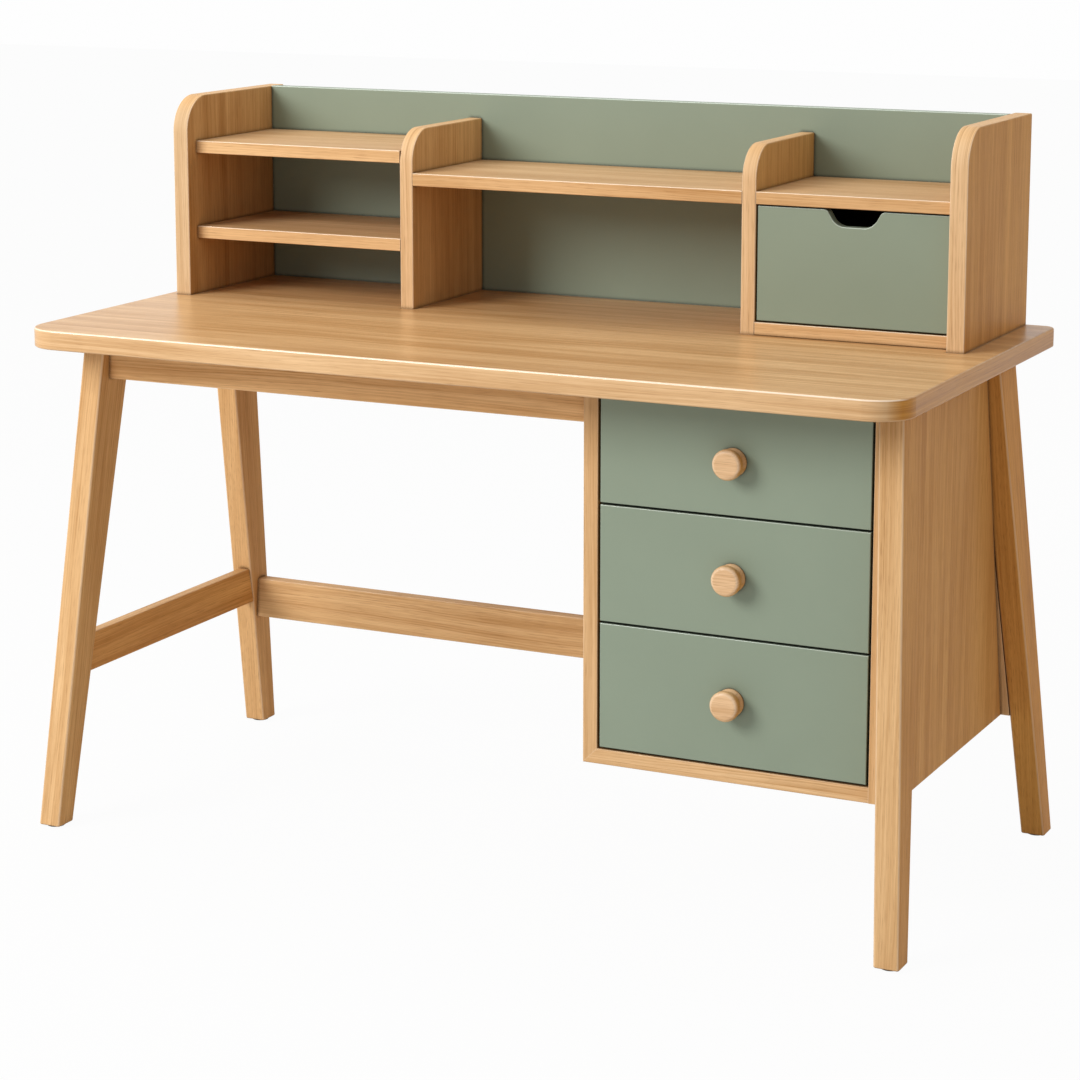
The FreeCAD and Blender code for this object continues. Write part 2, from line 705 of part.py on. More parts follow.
def knob(name, z):
    """A turned knob with a base, a waist and a round head. Its origin is on the drawer's face."""
    body = new_body(name, "front_centre", "case_front", z)
    sketch = new_sketch(body, "YZ_Plane", "profile")
    depth = "knob_screw_engagement + screw_tip_gap"
    outline(sketch, [
        ("0", "screw_hole_radius"),
        ("0", "knob_base_radius"),
        ("-knob_base_land", "knob_base_radius"),
        ("-knob_waist_height", "knob_waist_radius"),
        ("-knob_head_height", "knob_head_radius"),
        ("-knob_projection", "knob_head_radius"),
        ("-knob_projection", "0"),
        (f"-({depth})", "0"),
        (f"-({depth})", "screw_hole_radius"),
    ])
    turn(body, sketch)
    sizes = doc.getObject("Sizes")

    def ring(edge, radius, height):
        curve = edge.Curve
        return (isinstance(curve, Part.Circle) and abs(curve.Radius - radius) < NEAR
                and abs(curve.Center.y + height) < NEAR)

    for word, radius, height in (
        ("face", sizes.knob_head_radius, sizes.knob_projection),
        ("rim", sizes.knob_head_radius, sizes.knob_head_height),
        ("waist", sizes.knob_waist_radius, sizes.knob_waist_height),
    ):
        round_edges(body, word, f"knob_{word}_round",
                    lambda e, on, radius=radius, height=height: ring(e, radius, height))


def turn(body, sketch):
    feature = body.newObject("PartDesign::Revolution", f"{body.Label}_turned")
    feature.Profile = sketch
    feature.ReferenceAxis = (sketch, ["H_Axis"])
    feature.Angle = 360
    sketch.Visibility = False


def knob_screw(name, z):
    """The screw that holds a knob from inside the drawer."""
    body = new_body(name, "front_centre", "box_front", z)
    sketch = new_sketch(body, "YZ_Plane", "profile")
    tip = "-(front_thickness + knob_screw_engagement)"
    outline(sketch, [
        (tip, "0"),
        (tip, "screw_radius"),
        ("0", "screw_radius"),
        ("0", "screw_head_radius"),
        ("screw_head_height", "screw_head_radius"),
        ("screw_head_height", "0"),
    ])
    turn(body, sketch)


def case_drawers():
    """The three drawers of the case. Their fronts lie flush with the case's front edges."""
    half_gap = "front_joint_gap / 2"
    for word, (low, high) in DRAWERS.items():
        prefix = f"drawer_{word}"
        foot = f"{low} + front_joint_gap" if word == "lower" else f"{low} + {half_gap}"
        head = f"{high} - front_joint_gap" if word == "upper" else f"{high} - {half_gap}"
        middle = f"({foot} + {head}) / 2"
        knob_height = f"{middle} - upper_knob_drop" if word == "upper" else middle
        body = board(f"{prefix}_front", ("front_left", "front_right"), ("case_front", "box_front"),
                     (foot, head))
        round_edges(body, "face_edges", "front_round", lambda e, on: on("front"))
        drill(body, "XZ_Plane", "knob_hole", [("front_centre - front_left", f"{knob_height} - ({foot})")],
              "screw_hole_radius", "front_thickness", False)
        drawer_box(prefix, ("box_left", "box_right"), ("box_front", "box_rear"),
                   (f"{low} + box_floor_gap", f"{high} - box_top_gap"), "box_side_thickness",
                   runner_level(low, high))
        knob(f"{prefix}_knob", knob_height)
        knob_screw(f"{prefix}_knob_screw", knob_height)


def upright(name, x, thickness, front, height, radius):
    """A hutch upright: a board with its upper front corner rounded and its front edges eased."""
    body = board(name, (x, f"{x} + {thickness}"),
                 (front, "hutch_rear" if "side" in name else "hutch_back_front"),
                 ("desk_height", f"desk_height + {height}"))
    round_edges(body, "corner", radius, lambda e, on: on("front", "top"))
    round_edges(body, "edges", "hutch_round",
                lambda e, on: (on("left") or on("right")) and not on("bottom") and not on("rear"))
    centres = [(f"{thickness} / 2", f"{y} - ({front})") for y in HUTCH_SCREW_Y]
    depth = "hutch_screw_length + screw_recess - top_thickness + screw_tip_gap"
    drill(body, "XY_Plane", "screw_holes", centres, "screw_hole_radius", depth, True)


def shelf(name, x, z):
    """A hutch shelf between two uprights, from the shelves' front to the back panel."""
    body = board(name, x, ("shelf_front", "hutch_back_front"), z)
    round_edges(body, "front_edges", "board_round",
                lambda e, on: on("front", "top") or on("front", "bottom"))


def hutch():
    for name, (x, thickness) in UPRIGHTS.items():
        if "side" in name:
            upright(name, x, thickness, "hutch_front", "hutch_height", "side_corner_radius")
        else:
            upright(name, x, thickness, "shelf_front", "divider_height", "divider_corner_radius")
    body = board("hutch_back", ("hutch_left_in", "hutch_right_in"), ("hutch_back_front", "hutch_back_rear"),
                 ("desk_height", "desk_height + hutch_height"))
    round_edges(body, "top_edges", "board_round", lambda e, on: on("top", "front") or on("top", "rear"))
    left_bay = ("hutch_left_in", "left_divider")
    middle_bay = ("left_divider_right", "right_divider")
    right_bay = ("right_divider_right", "hutch_right_in")
    for name, bay, height, thickness in (
        ("shelf_left_upper", left_bay, "upper_left_shelf_height", "shelf_thickness"),
        ("shelf_left_lower", left_bay, "lower_left_shelf_height", "shelf_thickness"),
        ("shelf_middle", middle_bay, "main_shelf_height", "shelf_thickness"),
        ("shelf_right", right_bay, "main_shelf_height", "right_shelf_thickness"),
    ):
        shelf(name, bay, (f"desk_height + {height} - {thickness}", f"desk_height + {height}"))
    shelf("hutch_drawer_floor", right_bay, ("desk_height", "small_floor"))


def hutch_drawer():
    """The small drawer: an inset front with a finger notch in its upper edge, and a box behind it."""
    left = "right_divider_right + small_front_gap"
    foot = "small_floor + small_front_gap"
    width = f"hutch_right_in - small_front_gap - ({left})"
    height = f"main_shelf_bottom - small_front_gap - ({foot})"
    centre = f"({width}) / 2"
    floor = f"{height} - notch_depth"
    body = run_along_y("hutch_drawer_front", left, ("small_front_face", "small_box_front"), foot, [
        ("0", "0"),
        (width, "0"),
        (width, height),
        (f"{centre} + notch_top_width / 2", height),
        (f"{centre} + notch_bottom_width / 2", floor),
        (f"{centre} - notch_bottom_width / 2", floor),
        (f"{centre} - notch_top_width / 2", height),
        ("0", height),
    ])

    def across(edge, on):
        """Edges along Y at the notch's four corners."""
        ends = [v.Point for v in edge.Vertexes]
        straight = abs(ends[0].x - ends[1].x) < NEAR and abs(ends[0].z - ends[1].z) < NEAR
        return straight and not on("left") and not on("right")

    round_edges(body, "notch_floor", "notch_floor_round", lambda e, on: across(e, on) and not on("top"))
    round_edges(body, "notch_rim", "notch_rim_round", lambda e, on: across(e, on) and on("top"))
    round_edges(body, "face_edges", "front_round", lambda e, on: on("front"))
    drawer_box("hutch_drawer", ("small_box_left", "small_box_right"), ("small_box_front", "small_box_rear"),
               ("small_box_bottom", "small_box_top"), "small_side_thickness")


def screws():
    for name, length, places in (
        ("top_screws", "top_screw_length", TOP_SCREWS),
        ("hutch_screws", "hutch_screw_length", HUTCH_SCREWS),
    ):
        group(name, [upright_screw(f"{name}_{spot}", length, *at) for spot, at in places.items()])


def build():
    fill_sheet()
    desktop()
    for side in ("left", "right"):
        for end in ("front", "rear"):
            leg(side, end)
    foot_pads()
    rails_and_stretchers()
    corner_blocks()
    case_left_side()
    case_bottom()
    case_right_side()
    case_inside()
    drawer_runners()
    case_drawers()
    hutch()
    hutch_drawer()
    screws()
    doc.recompute()


def check():
    """Every object has recomputed, and every sub-part is a valid solid shape."""
    for thing in doc.Objects:
        if "Invalid" in thing.State or "Error" in thing.State:
            raise ValueError(f"{thing.Label}: {thing.State}")
    for node in nodes:
        shape = node.Shape
        if shape.isNull() or not shape.isValid() or not shape.Solids:
            raise ValueError(f"{node.Label}: no valid shape")


def write():
    os.makedirs(OUT, exist_ok=True)
    for node in nodes:
        node.Shape.exportStep(os.path.join(OUT, node.Label + ".step"))
    print(len(nodes), "nodes,", sum(len(node.Shape.Solids) for node in nodes), "solids")


build()
check()
write()
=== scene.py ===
"""Finishes a writing desk with shelves: wood grain, paint, fixings and the studio round it."""

import math
from collections import namedtuple

import bpy
from bpy.props import FloatProperty, FloatVectorProperty, PointerProperty
from mathutils import Matrix, Vector

bl_info = {
    "name": "Desk with shelves",
    "version": (1, 0, 0),
    "blender": (4, 5, 0),
    "location": "3D View > Sidebar > Desk",
    "description": "Finishes each group of the desk's pieces and sets up the studio",
    "category": "Object",
}

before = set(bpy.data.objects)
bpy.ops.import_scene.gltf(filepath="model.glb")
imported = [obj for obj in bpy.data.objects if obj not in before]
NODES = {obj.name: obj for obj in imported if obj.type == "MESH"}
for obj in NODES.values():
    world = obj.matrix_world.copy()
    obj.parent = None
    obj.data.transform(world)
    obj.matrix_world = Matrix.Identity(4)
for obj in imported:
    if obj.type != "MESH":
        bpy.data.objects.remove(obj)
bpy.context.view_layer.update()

ALONG_X = Vector((1, 0, 0))
ALONG_Y = Vector((0, 1, 0))
ALONG_Z = Vector((0, 0, 1))

# A noise with a scale for each axis, and the range of its values that is spread from 0 to 1
Pattern = namedtuple("Pattern", "scales low high detail roughness", defaults=(3.0, 0.5))

# The grain's noises. Their scales run along the fibres, across the board and through it.
SWAY = (1.3, 5.0, 5.0)
RAGGED = (7.0, 70.0, 70.0)
BROAD_BANDS = Pattern((2.3, 30.0, 9.0), 0.36, 0.64, detail=2.0, roughness=0.6)
STREAKS = Pattern((1.9, 105.0, 60.0), 0.34, 0.66, roughness=0.6)
FIBRES = Pattern((3.6, 430.0, 380.0), 0.34, 0.66, roughness=0.66)
PORES = Pattern((30.0, 1150.0, 1150.0), 0.54, 0.66, detail=1.0)

# The furthest that the grain of a stave is moved, in metres, and what a board's seed adds to the
# numbers that its staves' chances come from
STAVE_JUMP_ALONG = 9.0
STAVE_JUMP_ACROSS = 3.0
SEED_STEP = 7.31

# How far a board's grain is moved for each seed, and where that starts again, in metres
BOARD_STEP_ALONG = 1.37
BOARD_STEP_ACROSS = 0.619
BOARD_REACH_ALONG = 5.0
BOARD_REACH_ACROSS = 0.9

# Growth rings: how steeply they cross a board, how far they stray in metres, and how they fade
LEAST_SLOPE = 0.55
SLOPE_SPREAD = 0.5
SWAY_REACH = 0.03
RAGGED_REACH = 0.0035
EARLY_WOOD_FADE = 1.6
POOREST_YEAR = 0.15

# How the parts of the figure are weighed against one another
DEPTHWISE_SHARE = 0.2
STRAY_PORES = 0.25
STREAK_SHARE = 0.4
STAVE_TONE = 0.2
PORE_DEPTH = 0.7
FIBRE_HEIGHT = 0.3
FIBRE_DULLNESS = 0.35

# Worn and highlit edges, paler with wear and a painted highlight: how far a rounded normal agrees
# with the flat one, on a face and on an edge
BEVEL_SAMPLES = 4
FACE_TO_EDGE = (0.995, 0.86)
EDGE_PATCHES = Pattern((40.0, 40.0, 40.0), 0.35, 0.65)

# Handling: scales of the slow and the fine changes, and how much of the second there is
SLOW_CHANGE = (7.0, 7.0, 7.0)
FINE_CHANGE = (160.0, 160.0, 160.0)
FINE_SHARE = 0.35

# Edge bands: how far their grain is moved, in metres, and where a face counts as narrow, as an
# arris, as facing ahead and as not facing down. The arris mask is where a highlight is painted.
BAND_SHIFT = 0.03
WIDE_TO_NARROW = (0.72, 0.68)
FLAT_TO_ARRIS = (0.2, 0.42)
TURNED_TO_AHEAD = (0.25, 0.5)
UNDER_TO_UPPER = (-0.35, -0.15)

# Painted light and shade by facing: where a face counts as turned to one side
ASLANT_TO_FACING = (0.55, 0.85)

# Wood: wear and a painted highlight on the edges, painted shade in seams and shut hollows, and
# sheen
WOOD_PATCHINESS = 0.45
WOOD_WEAR_AND_HIGHLIGHT = 0.3
WORN_AND_HIGHLIT_LIGHTNESS = 0.35
CONTACT_SHADE_SHARE = 0.8
WOOD_CONTACT_SHADE = 0.5
PAINTED_HOLLOW_SHADE = 0.03
PAINTED_HOLLOW_REACH = 0.3
WOOD_SHEEN_SPREAD = 0.14
OPEN_GRAIN_DULLNESS = 0.12
ONE_STAVE = 1.0
OAK_FIGURE = {"Ring Strength": 0.24, "Band Strength": 0.62, "Fibre Strength": 0.40}
OAK_PORES = 0.70
BIRCH_FIGURE = {
    "Ring Spacing": 0.007, "Ring Strength": 0.16, "Band Strength": 0.3, "Fibre Strength": 0.24,
    "Pore Strength": 0.15,
}
BIRCH_ROUGHNESS = 0.46
BIRCH_EDGE = 0.001

# Paint: wear and a painted highlight on the edges, tone and the roller's strokes, whose length and
# width are counted in dimples
PAINT_EDGE = 0.0016
PAINT_WEAR_AND_HIGHLIGHT = 0.45
LEVEL_TO_RISING = (0.2, 0.4)
TONE_RANGE = (0.3, 0.7)
THIN_COAT = 0.955
PAINT_CONTACT_SHADE = 0.12
STROKE_LENGTH = 14
STROKE_WIDTH = 2
STROKE_SHARE = 0.5

# Zinc and felt
SPANGLE_SCALE = 900.0
SPANGLE_RANGE = (0.1, 0.7)
SPANGLE_SHADE = 0.8
SCUFFS = (500.0, 500.0, 4000.0)
SCUFF_DULLNESS = 0.12
FELT_ONE_WAY = (2600.0, 500.0, 900.0)
FELT_OTHER_WAY = (500.0, 2600.0, 1100.0)
FELT_RANGE = (0.45, 0.7)
FELT_SHADE = 0.6

# How far the legs lean sideways and lengthways for each metre of their height
LEAN_SIDEWAYS = 0.052
LEAN_LENGTHWAYS = 0.15

# The first grain seed of each group of boards. No two groups share a seed.
DESKTOP_SEED = 3
LEG_SEED = 11
RAIL_SEED = 23
BLOCK_SEED = 31
CASE_SEED = 37
CASE_INSIDE_SEED = 43
KNOB_SEED = 53
KNOB_SEED_STEP = 5
BOX_SEED = 71
BOX_SEED_STEP = 7
UPRIGHT_SEED = 97
SHELF_SEED = 109
SMALL_BOX_SEED = 127

# Studio. Places and sizes are in metres, angles in degrees, the lens and the film's width in
# millimetres. The camera's shift is a share of the film's width.
FLOOR_MOTTLE = Pattern((3.0, 3.0, 3.0), 0.3, 0.7)
MOTTLE_SHADE = 0.985
FLOOR_ROUGHNESS = 0.9
FLOOR_WHITE_SHARE = 0.97
ROOM_WHITE_SHARE = 1.0
WHITE = (0.99, 0.99, 0.99, 1)
LAMP_AIM = Vector((0.0, 0.0, 0.7))
KEY_LAMP_PLACE = Vector((-2.7, -3.8, 3.1))
KEY_LAMP_SIZE = 2.4
TOP_LAMP_PLACE = Vector((-0.6, 0.4, 3.6))
TOP_LAMP_SIZE = 2.6
CAMERA_PLACE = (1.85865, -3.79142, 1.43333)
CAMERA_TURN = 26.1
CAMERA_DIP = 10.28
CAMERA_LENS = 98.07
CAMERA_FILM = 36
CAMERA_SHIFT = -0.1389
CAMERA_SIGHT = 100

# A tone that changes nothing
PLAIN = (1, 1, 1, 1)


# Wiring

def filled(tree, node, values):
    """A node with its inputs set to values or joined to sockets."""
    for name, value in values.items():
        if isinstance(value, bpy.types.NodeSocket):
            tree.links.new(value, node.inputs[name])
        else:
            node.inputs[name].default_value = value
    return node


def add(tree, kind, inputs=None, **settings):
    """A new node with its settings and its inputs."""
    made = tree.nodes.new("ShaderNode" + kind)
    for name, value in settings.items():
        setattr(made, name, value)
    return filled(tree, made, inputs or {})


def sums(tree, operation, *values, clamp=False):
    """The result of a Math node."""
    made = add(tree, "Math", dict(enumerate(values)), operation=operation, use_clamp=clamp)
    return made.outputs[0]


def multiplied(tree, first, second):
    """Two vectors or colours, multiplied part by part."""
    return add(tree, "VectorMath", {0: first, 1: second}, operation="MULTIPLY").outputs[0]


def agreement(tree, first, second):
    """How far two directions agree, from -1 to 1."""
    made = add(tree, "VectorMath", {0: first, 1: second}, operation="DOT_PRODUCT")
    return made.outputs["Value"]


def axes(tree, vector):
    """The three parts of a vector."""
    return add(tree, "SeparateXYZ", {0: vector}).outputs


def chances(tree, mark):
    """The random value and the random colour that belong to a number."""
    return add(tree, "TexWhiteNoise", {"W": mark}, noise_dimensions="1D").outputs


def blended(tree, share, first, second):
    """A colour between two others."""
    return add(tree, "Mix", {0: share, 6: first, 7: second}, data_type="RGBA").outputs[2]


def spread_to(tree, value, low, high):
    """A value moved from a range to 0 to 1, and held inside it."""
    return add(tree, "MapRange", {0: value, 1: low, 2: high}).outputs[0]


def noise(tree, place, scales, detail=2.0, roughness=0.5):
    """A cloudy noise at a place, with a scale of its own on each axis."""
    stretched = multiplied(tree, place, scales)
    made = add(tree, "TexNoise", {
        "Vector": stretched, "Scale": 1.0, "Detail": detail, "Roughness": roughness})
    return made.outputs["Fac"]


def pattern(tree, place, kind):
    """A noise spread from 0 to 1, as its Pattern says."""
    cloud = noise(tree, place, kind.scales, kind.detail, kind.roughness)
    return spread_to(tree, cloud, kind.low, kind.high)


def group(name, inputs, outputs):
    """A node group with named sockets. Each socket is (name, kind, default)."""
    tree = bpy.data.node_groups.new(name, "ShaderNodeTree")
    for direction, sockets in (("INPUT", inputs), ("OUTPUT", outputs)):
        for label, kind, *default in sockets:
            made = tree.interface.new_socket(
                label, in_out=direction, socket_type="NodeSocket" + kind)
            if default:
                made.default_value = default[0]
    given = tree.nodes.new("NodeGroupInput").outputs
    results = tree.nodes.new("NodeGroupOutput").inputs
    return tree, given, results


def placed(tree, name, values):
    """The outputs of a node group in a material. The group is made at its first use."""
    made = tree.nodes.new("ShaderNodeGroup")
    made.node_tree = bpy.data.node_groups.get(name) or GROUPS[name](name)
    return filled(tree, made, values).outputs


# Effects that several finishes share

def wood_grain(name):
    """Growth rings in each stave, bands of tone, long fibres, and pores that follow the rings."""
    tree, given, results = group(name, [
        ("Place", "Vector"),
        ("Seed", "Float", 0.0),
        ("Stave Width", "Float", 0.1),
        ("Ring Spacing", "Float", 0.004),
        ("Ring Strength", "Float", 0.5),
        ("Band Strength", "Float", 0.5),
        ("Fibre Strength", "Float", 0.5),
        ("Pore Strength", "Float", 0.5),
        ("Light Wood", "Color", (0.7, 0.45, 0.22, 1)),
        ("Dark Wood", "Color", (0.5, 0.28, 0.11, 1)),
        ("Pore", "Color", (0.3, 0.15, 0.06, 1)),
    ], [("Color", "Color"), ("Height", "Float"), ("Open Grain", "Float")])
    where = axes(tree, given["Place"])
    stave = sums(tree, "FLOOR", sums(tree, "DIVIDE", where[1], given["Stave Width"]))
    mark = sums(tree, "MULTIPLY_ADD", given["Seed"], SEED_STEP, stave)
    chance = add(tree, "SeparateColor", {0: chances(tree, mark)["Color"]}).outputs
    middle = sums(tree, "MULTIPLY", sums(tree, "ADD", stave, 0.5), given["Stave Width"])
    from_middle = sums(tree, "SUBTRACT", where[1], middle)
    along = sums(tree, "MULTIPLY_ADD", chance[0], STAVE_JUMP_ALONG, where[0])
    across = sums(tree, "MULTIPLY_ADD", chance[1], STAVE_JUMP_ACROSS, from_middle)
    inside = add(tree, "CombineXYZ", {0: along, 1: across, 2: where[2]}).outputs[0]

    # The pith lies far off on the diagonal, so the rings cross the board as nearly straight lines.
    slope = sums(tree, "MULTIPLY_ADD", chance[2], SLOPE_SPREAD, LEAST_SLOPE)
    sway = sums(tree, "SUBTRACT", noise(tree, inside, SWAY, detail=1.0), 0.5)
    ragged = sums(tree, "SUBTRACT", noise(tree, inside, RAGGED, detail=3.0), 0.5)
    reach = sums(tree, "MULTIPLY_ADD", where[2], slope, across)
    reach = sums(tree, "MULTIPLY_ADD", sway, SWAY_REACH, reach)
    reach = sums(tree, "MULTIPLY_ADD", ragged, RAGGED_REACH, reach)
    ring = sums(tree, "DIVIDE", reach, given["Ring Spacing"])
    late = sums(tree, "SUBTRACT", 1.0, sums(tree, "FRACT", ring))
    year = chances(tree, sums(tree, "FLOOR", ring))["Value"]
    vigour = sums(tree, "MULTIPLY_ADD", year, 1 - POOREST_YEAR, POOREST_YEAR)
    early = sums(tree, "MULTIPLY", sums(tree, "POWER", late, EARLY_WOOD_FADE), vigour)

    # The bands and fibres follow the rings. The pores lie mostly in the early wood.
    depthwise = sums(tree, "MULTIPLY", where[2], DEPTHWISE_SHARE)
    banded = add(tree, "CombineXYZ", {0: along, 1: reach, 2: depthwise}).outputs[0]
    broad = sums(tree, "MULTIPLY", pattern(tree, banded, BROAD_BANDS), 1 - STREAK_SHARE)
    bands = sums(tree, "MULTIPLY_ADD", pattern(tree, banded, STREAKS), STREAK_SHARE, broad)
    fibres = pattern(tree, banded, FIBRES)
    gathered = sums(tree, "MULTIPLY_ADD", early, 1 - STRAY_PORES, STRAY_PORES)
    pores = sums(tree, "MULTIPLY", pattern(tree, inside, PORES), gathered)

    depth = sums(tree, "MULTIPLY", early, given["Ring Strength"])
    depth = sums(tree, "MULTIPLY_ADD", fibres, given["Fibre Strength"], depth)
    depth = sums(tree, "MULTIPLY_ADD", bands, given["Band Strength"], depth)
    of_its_own = sums(tree, "SUBTRACT", chance[1], 0.5)
    depth = sums(tree, "MULTIPLY_ADD", of_its_own, STAVE_TONE, depth, clamp=True)
    colour = blended(tree, depth, given["Light Wood"], given["Dark Wood"])
    opened = sums(tree, "MULTIPLY", pores, given["Pore Strength"], clamp=True)
    tree.links.new(blended(tree, opened, colour, given["Pore"]), results["Color"])
    raised = sums(tree, "MULTIPLY", fibres, FIBRE_HEIGHT)
    tree.links.new(sums(tree, "MULTIPLY_ADD", opened, -PORE_DEPTH, raised), results["Height"])
    dull = sums(tree, "MULTIPLY", fibres, FIBRE_DULLNESS)
    tree.links.new(sums(tree, "MAXIMUM", opened, dull), results["Open Grain"])
    return tree


def worn_edge(name):
    """A mask of the rounded edges, where the finish is thinner with wear and where a highlight is
    painted.
    """
    tree, given, results = group(name, [
        ("Place", "Vector"),
        ("Width", "Float", 0.002),
        ("Patchiness", "Float", 0.5),
    ], [("Mask", "Float")])
    rounded = add(tree, "Bevel", {"Radius": given["Width"]}, samples=BEVEL_SAMPLES).outputs[0]
    flat = add(tree, "NewGeometry").outputs["Normal"]
    edge = spread_to(tree, agreement(tree, rounded, flat), *FACE_TO_EDGE)
    lost = sums(tree, "SUBTRACT", pattern(tree, given["Place"], EDGE_PATCHES), 1.0)
    kept = sums(tree, "MULTIPLY_ADD", lost, given["Patchiness"], 1.0)
    tree.links.new(sums(tree, "MULTIPLY", edge, kept, clamp=True), results["Mask"])
    return tree


def handling(name):
    """Slow changes of sheen and tone, as a surface gets from finishing and use."""
    tree, given, results = group(name, [
        ("Place", "Vector"),
        ("Roughness", "Float", 0.4),
        ("Spread", "Float", 0.1),
        ("Extra", "Float", 0.0),
    ], [("Roughness", "Float"), ("Tone", "Float")])
    slow = noise(tree, given["Place"], SLOW_CHANGE, detail=3.0)
    fine = noise(tree, given["Place"], FINE_CHANGE)
    both = sums(tree, "MULTIPLY", slow, 1 - FINE_SHARE)
    both = sums(tree, "MULTIPLY_ADD", fine, FINE_SHARE, both)
    change = sums(tree, "SUBTRACT", both, 0.5)
    rough = sums(tree, "MULTIPLY_ADD", change, given["Spread"], given["Roughness"])
    tree.links.new(sums(tree, "ADD", rough, given["Extra"], clamp=True), results["Roughness"])
    tree.links.new(slow, results["Tone"])
    return tree


def shut_in(name, reach, samples, clear, shut):
    """A mask of the places that have other surfaces close round them."""
    tree, given, results = group(name, [("Reach", "Float", reach)], [("Mask", "Float")])
    around = add(tree, "AmbientOcclusion", {"Distance": given["Reach"]}, samples=samples)
    tree.links.new(spread_to(tree, around.outputs["AO"], clear, shut), results["Mask"])
    return tree


def contact(name):
    """A mask of the narrow seams where pieces meet, where shade is painted."""
    return shut_in(name, reach=0.006, samples=5, clear=0.86, shut=0.56)


def shut_hollow(name):
    """A mask of the hollows that are shut on nearly every side, where dark shade is painted."""
    return shut_in(name, reach=PAINTED_HOLLOW_REACH, samples=16, clear=0.16, shut=0.04)


def edge_band(name):
    """A board's place, turned on its narrow faces so that their grain runs round the board as a
    lipping does, and a mask of the arris along its upper front edge, where a highlight is painted."""
    tree, given, results = group(name, [
        ("Place", "Vector"),
        ("Facing", "Vector"),
        ("Through", "Vector", (0.0, 0.0, 1.0)),
        ("Front", "Vector", (0.0, -1.0, 0.0)),
    ], [("Place", "Vector"), ("Arris", "Float")])
    flat = sums(tree, "ABSOLUTE", agreement(tree, given["Facing"], given["Through"]))
    where = axes(tree, given["Place"])
    lipping = add(tree, "CombineXYZ", {
        0: sums(tree, "SUBTRACT", where[0], where[1]),
        1: sums(tree, "ADD", where[2], BAND_SHIFT),
        2: 0.0,
    }).outputs[0]
    narrow = spread_to(tree, flat, *WIDE_TO_NARROW)
    chosen = add(tree, "Mix", {0: narrow, 4: given["Place"], 5: lipping}, data_type="VECTOR")
    tree.links.new(chosen.outputs[1], results["Place"])
    slant = sums(tree, "SUBTRACT", 1.0, sums(tree, "MULTIPLY", flat, flat), clamp=True)
    slanted = sums(tree, "MULTIPLY", flat, sums(tree, "SQRT", slant))
    arris = spread_to(tree, slanted, *FLAT_TO_ARRIS)
    # Only the upper front arris, which faces the light, gets the painted highlight.
    ahead = spread_to(tree, agreement(tree, given["Facing"], given["Front"]), *TURNED_TO_AHEAD)
    upper = spread_to(tree, axes(tree, given["Facing"])[2], *UNDER_TO_UPPER)
    arris = sums(tree, "MULTIPLY", arris, ahead)
    tree.links.new(sums(tree, "MULTIPLY", arris, upper), results["Arris"])
    return tree


def cut_tone(name):
    """Painted light and shade: the faces to the right, to the front and above each get a colour of
    their own that stands in for how the light falls on them.
    """
    tree, given, results = group(name, [
        ("Color", "Color"),
        ("Facing", "Vector"),
        ("Side", "Color", PLAIN),
        ("Front", "Color", PLAIN),
        ("Top", "Color", PLAIN),
    ], [("Color", "Color")])
    colour = given["Color"]
    turned = axes(tree, given["Facing"])
    aslant, facing = ASLANT_TO_FACING
    # Each facing gets painted light and shade: its colour is multiplied by its own tone.
    for axis, (tint, sign) in enumerate((("Side", 1), ("Front", -1), ("Top", 1))):
        share = spread_to(tree, turned[axis], aslant * sign, facing * sign)
        colour = blended(tree, share, colour, multiplied(tree, colour, given[tint]))
    tree.links.new(colour, results["Color"])
    return tree


GROUPS = {
    "Wood grain": wood_grain,
    "Worn edge": worn_edge,
    "Handling": handling,
    "Contact": contact,
    "Shut hollow": shut_hollow,
    "Edge band": edge_band,
    "Cut tone": cut_tone,
}


# Sizes and colours

class WoodFinish(bpy.types.PropertyGroup):
    light_wood: FloatVectorProperty(
        name="Light wood", description="Colour of the oak between its rings",
        subtype="COLOR", size=4, min=0, max=1, default=(0.772, 0.504, 0.260, 1))
    dark_wood: FloatVectorProperty(
        name="Dark wood", description="Colour of the oak's rings and fibres",
        subtype="COLOR", size=4, min=0, max=1, default=(0.46, 0.242, 0.090, 1))
    pore: FloatVectorProperty(
        name="Pores", description="Colour of the oak's open pores",
        subtype="COLOR", size=4, min=0, max=1, default=(0.29, 0.140, 0.050, 1))
    ring_spacing: FloatProperty(
        name="Ring spacing", description="Width of a growth ring",
        unit="LENGTH", default=0.0042, min=0.001, max=0.02)
    stave_width: FloatProperty(
        name="Stave width", description="Width of the staves that wide boards are glued from",
        unit="LENGTH", default=0.115, min=0.03, max=0.5)
    # The paler edges are worn and carry a painted highlight.
    edge_width: FloatProperty(
        name="Edge width", description="Width of the paler edges",
        unit="LENGTH", default=0.002, min=0.0002, max=0.01)
    roughness: FloatProperty(
        name="Lacquer roughness", description="How matt the satin lacquer is",
        subtype="FACTOR", default=0.4, min=0, max=1)


def tone(name, where, red, green, blue):
    """A property of painted light and shade: a change of the oak's colour in one place that stands
    in for the light there.
    """
    return FloatVectorProperty(
        name=name, description=f"Change of the oak's colour on {where}",
        subtype="COLOR", size=4, min=0, max=2, default=(red, green, blue, 1))
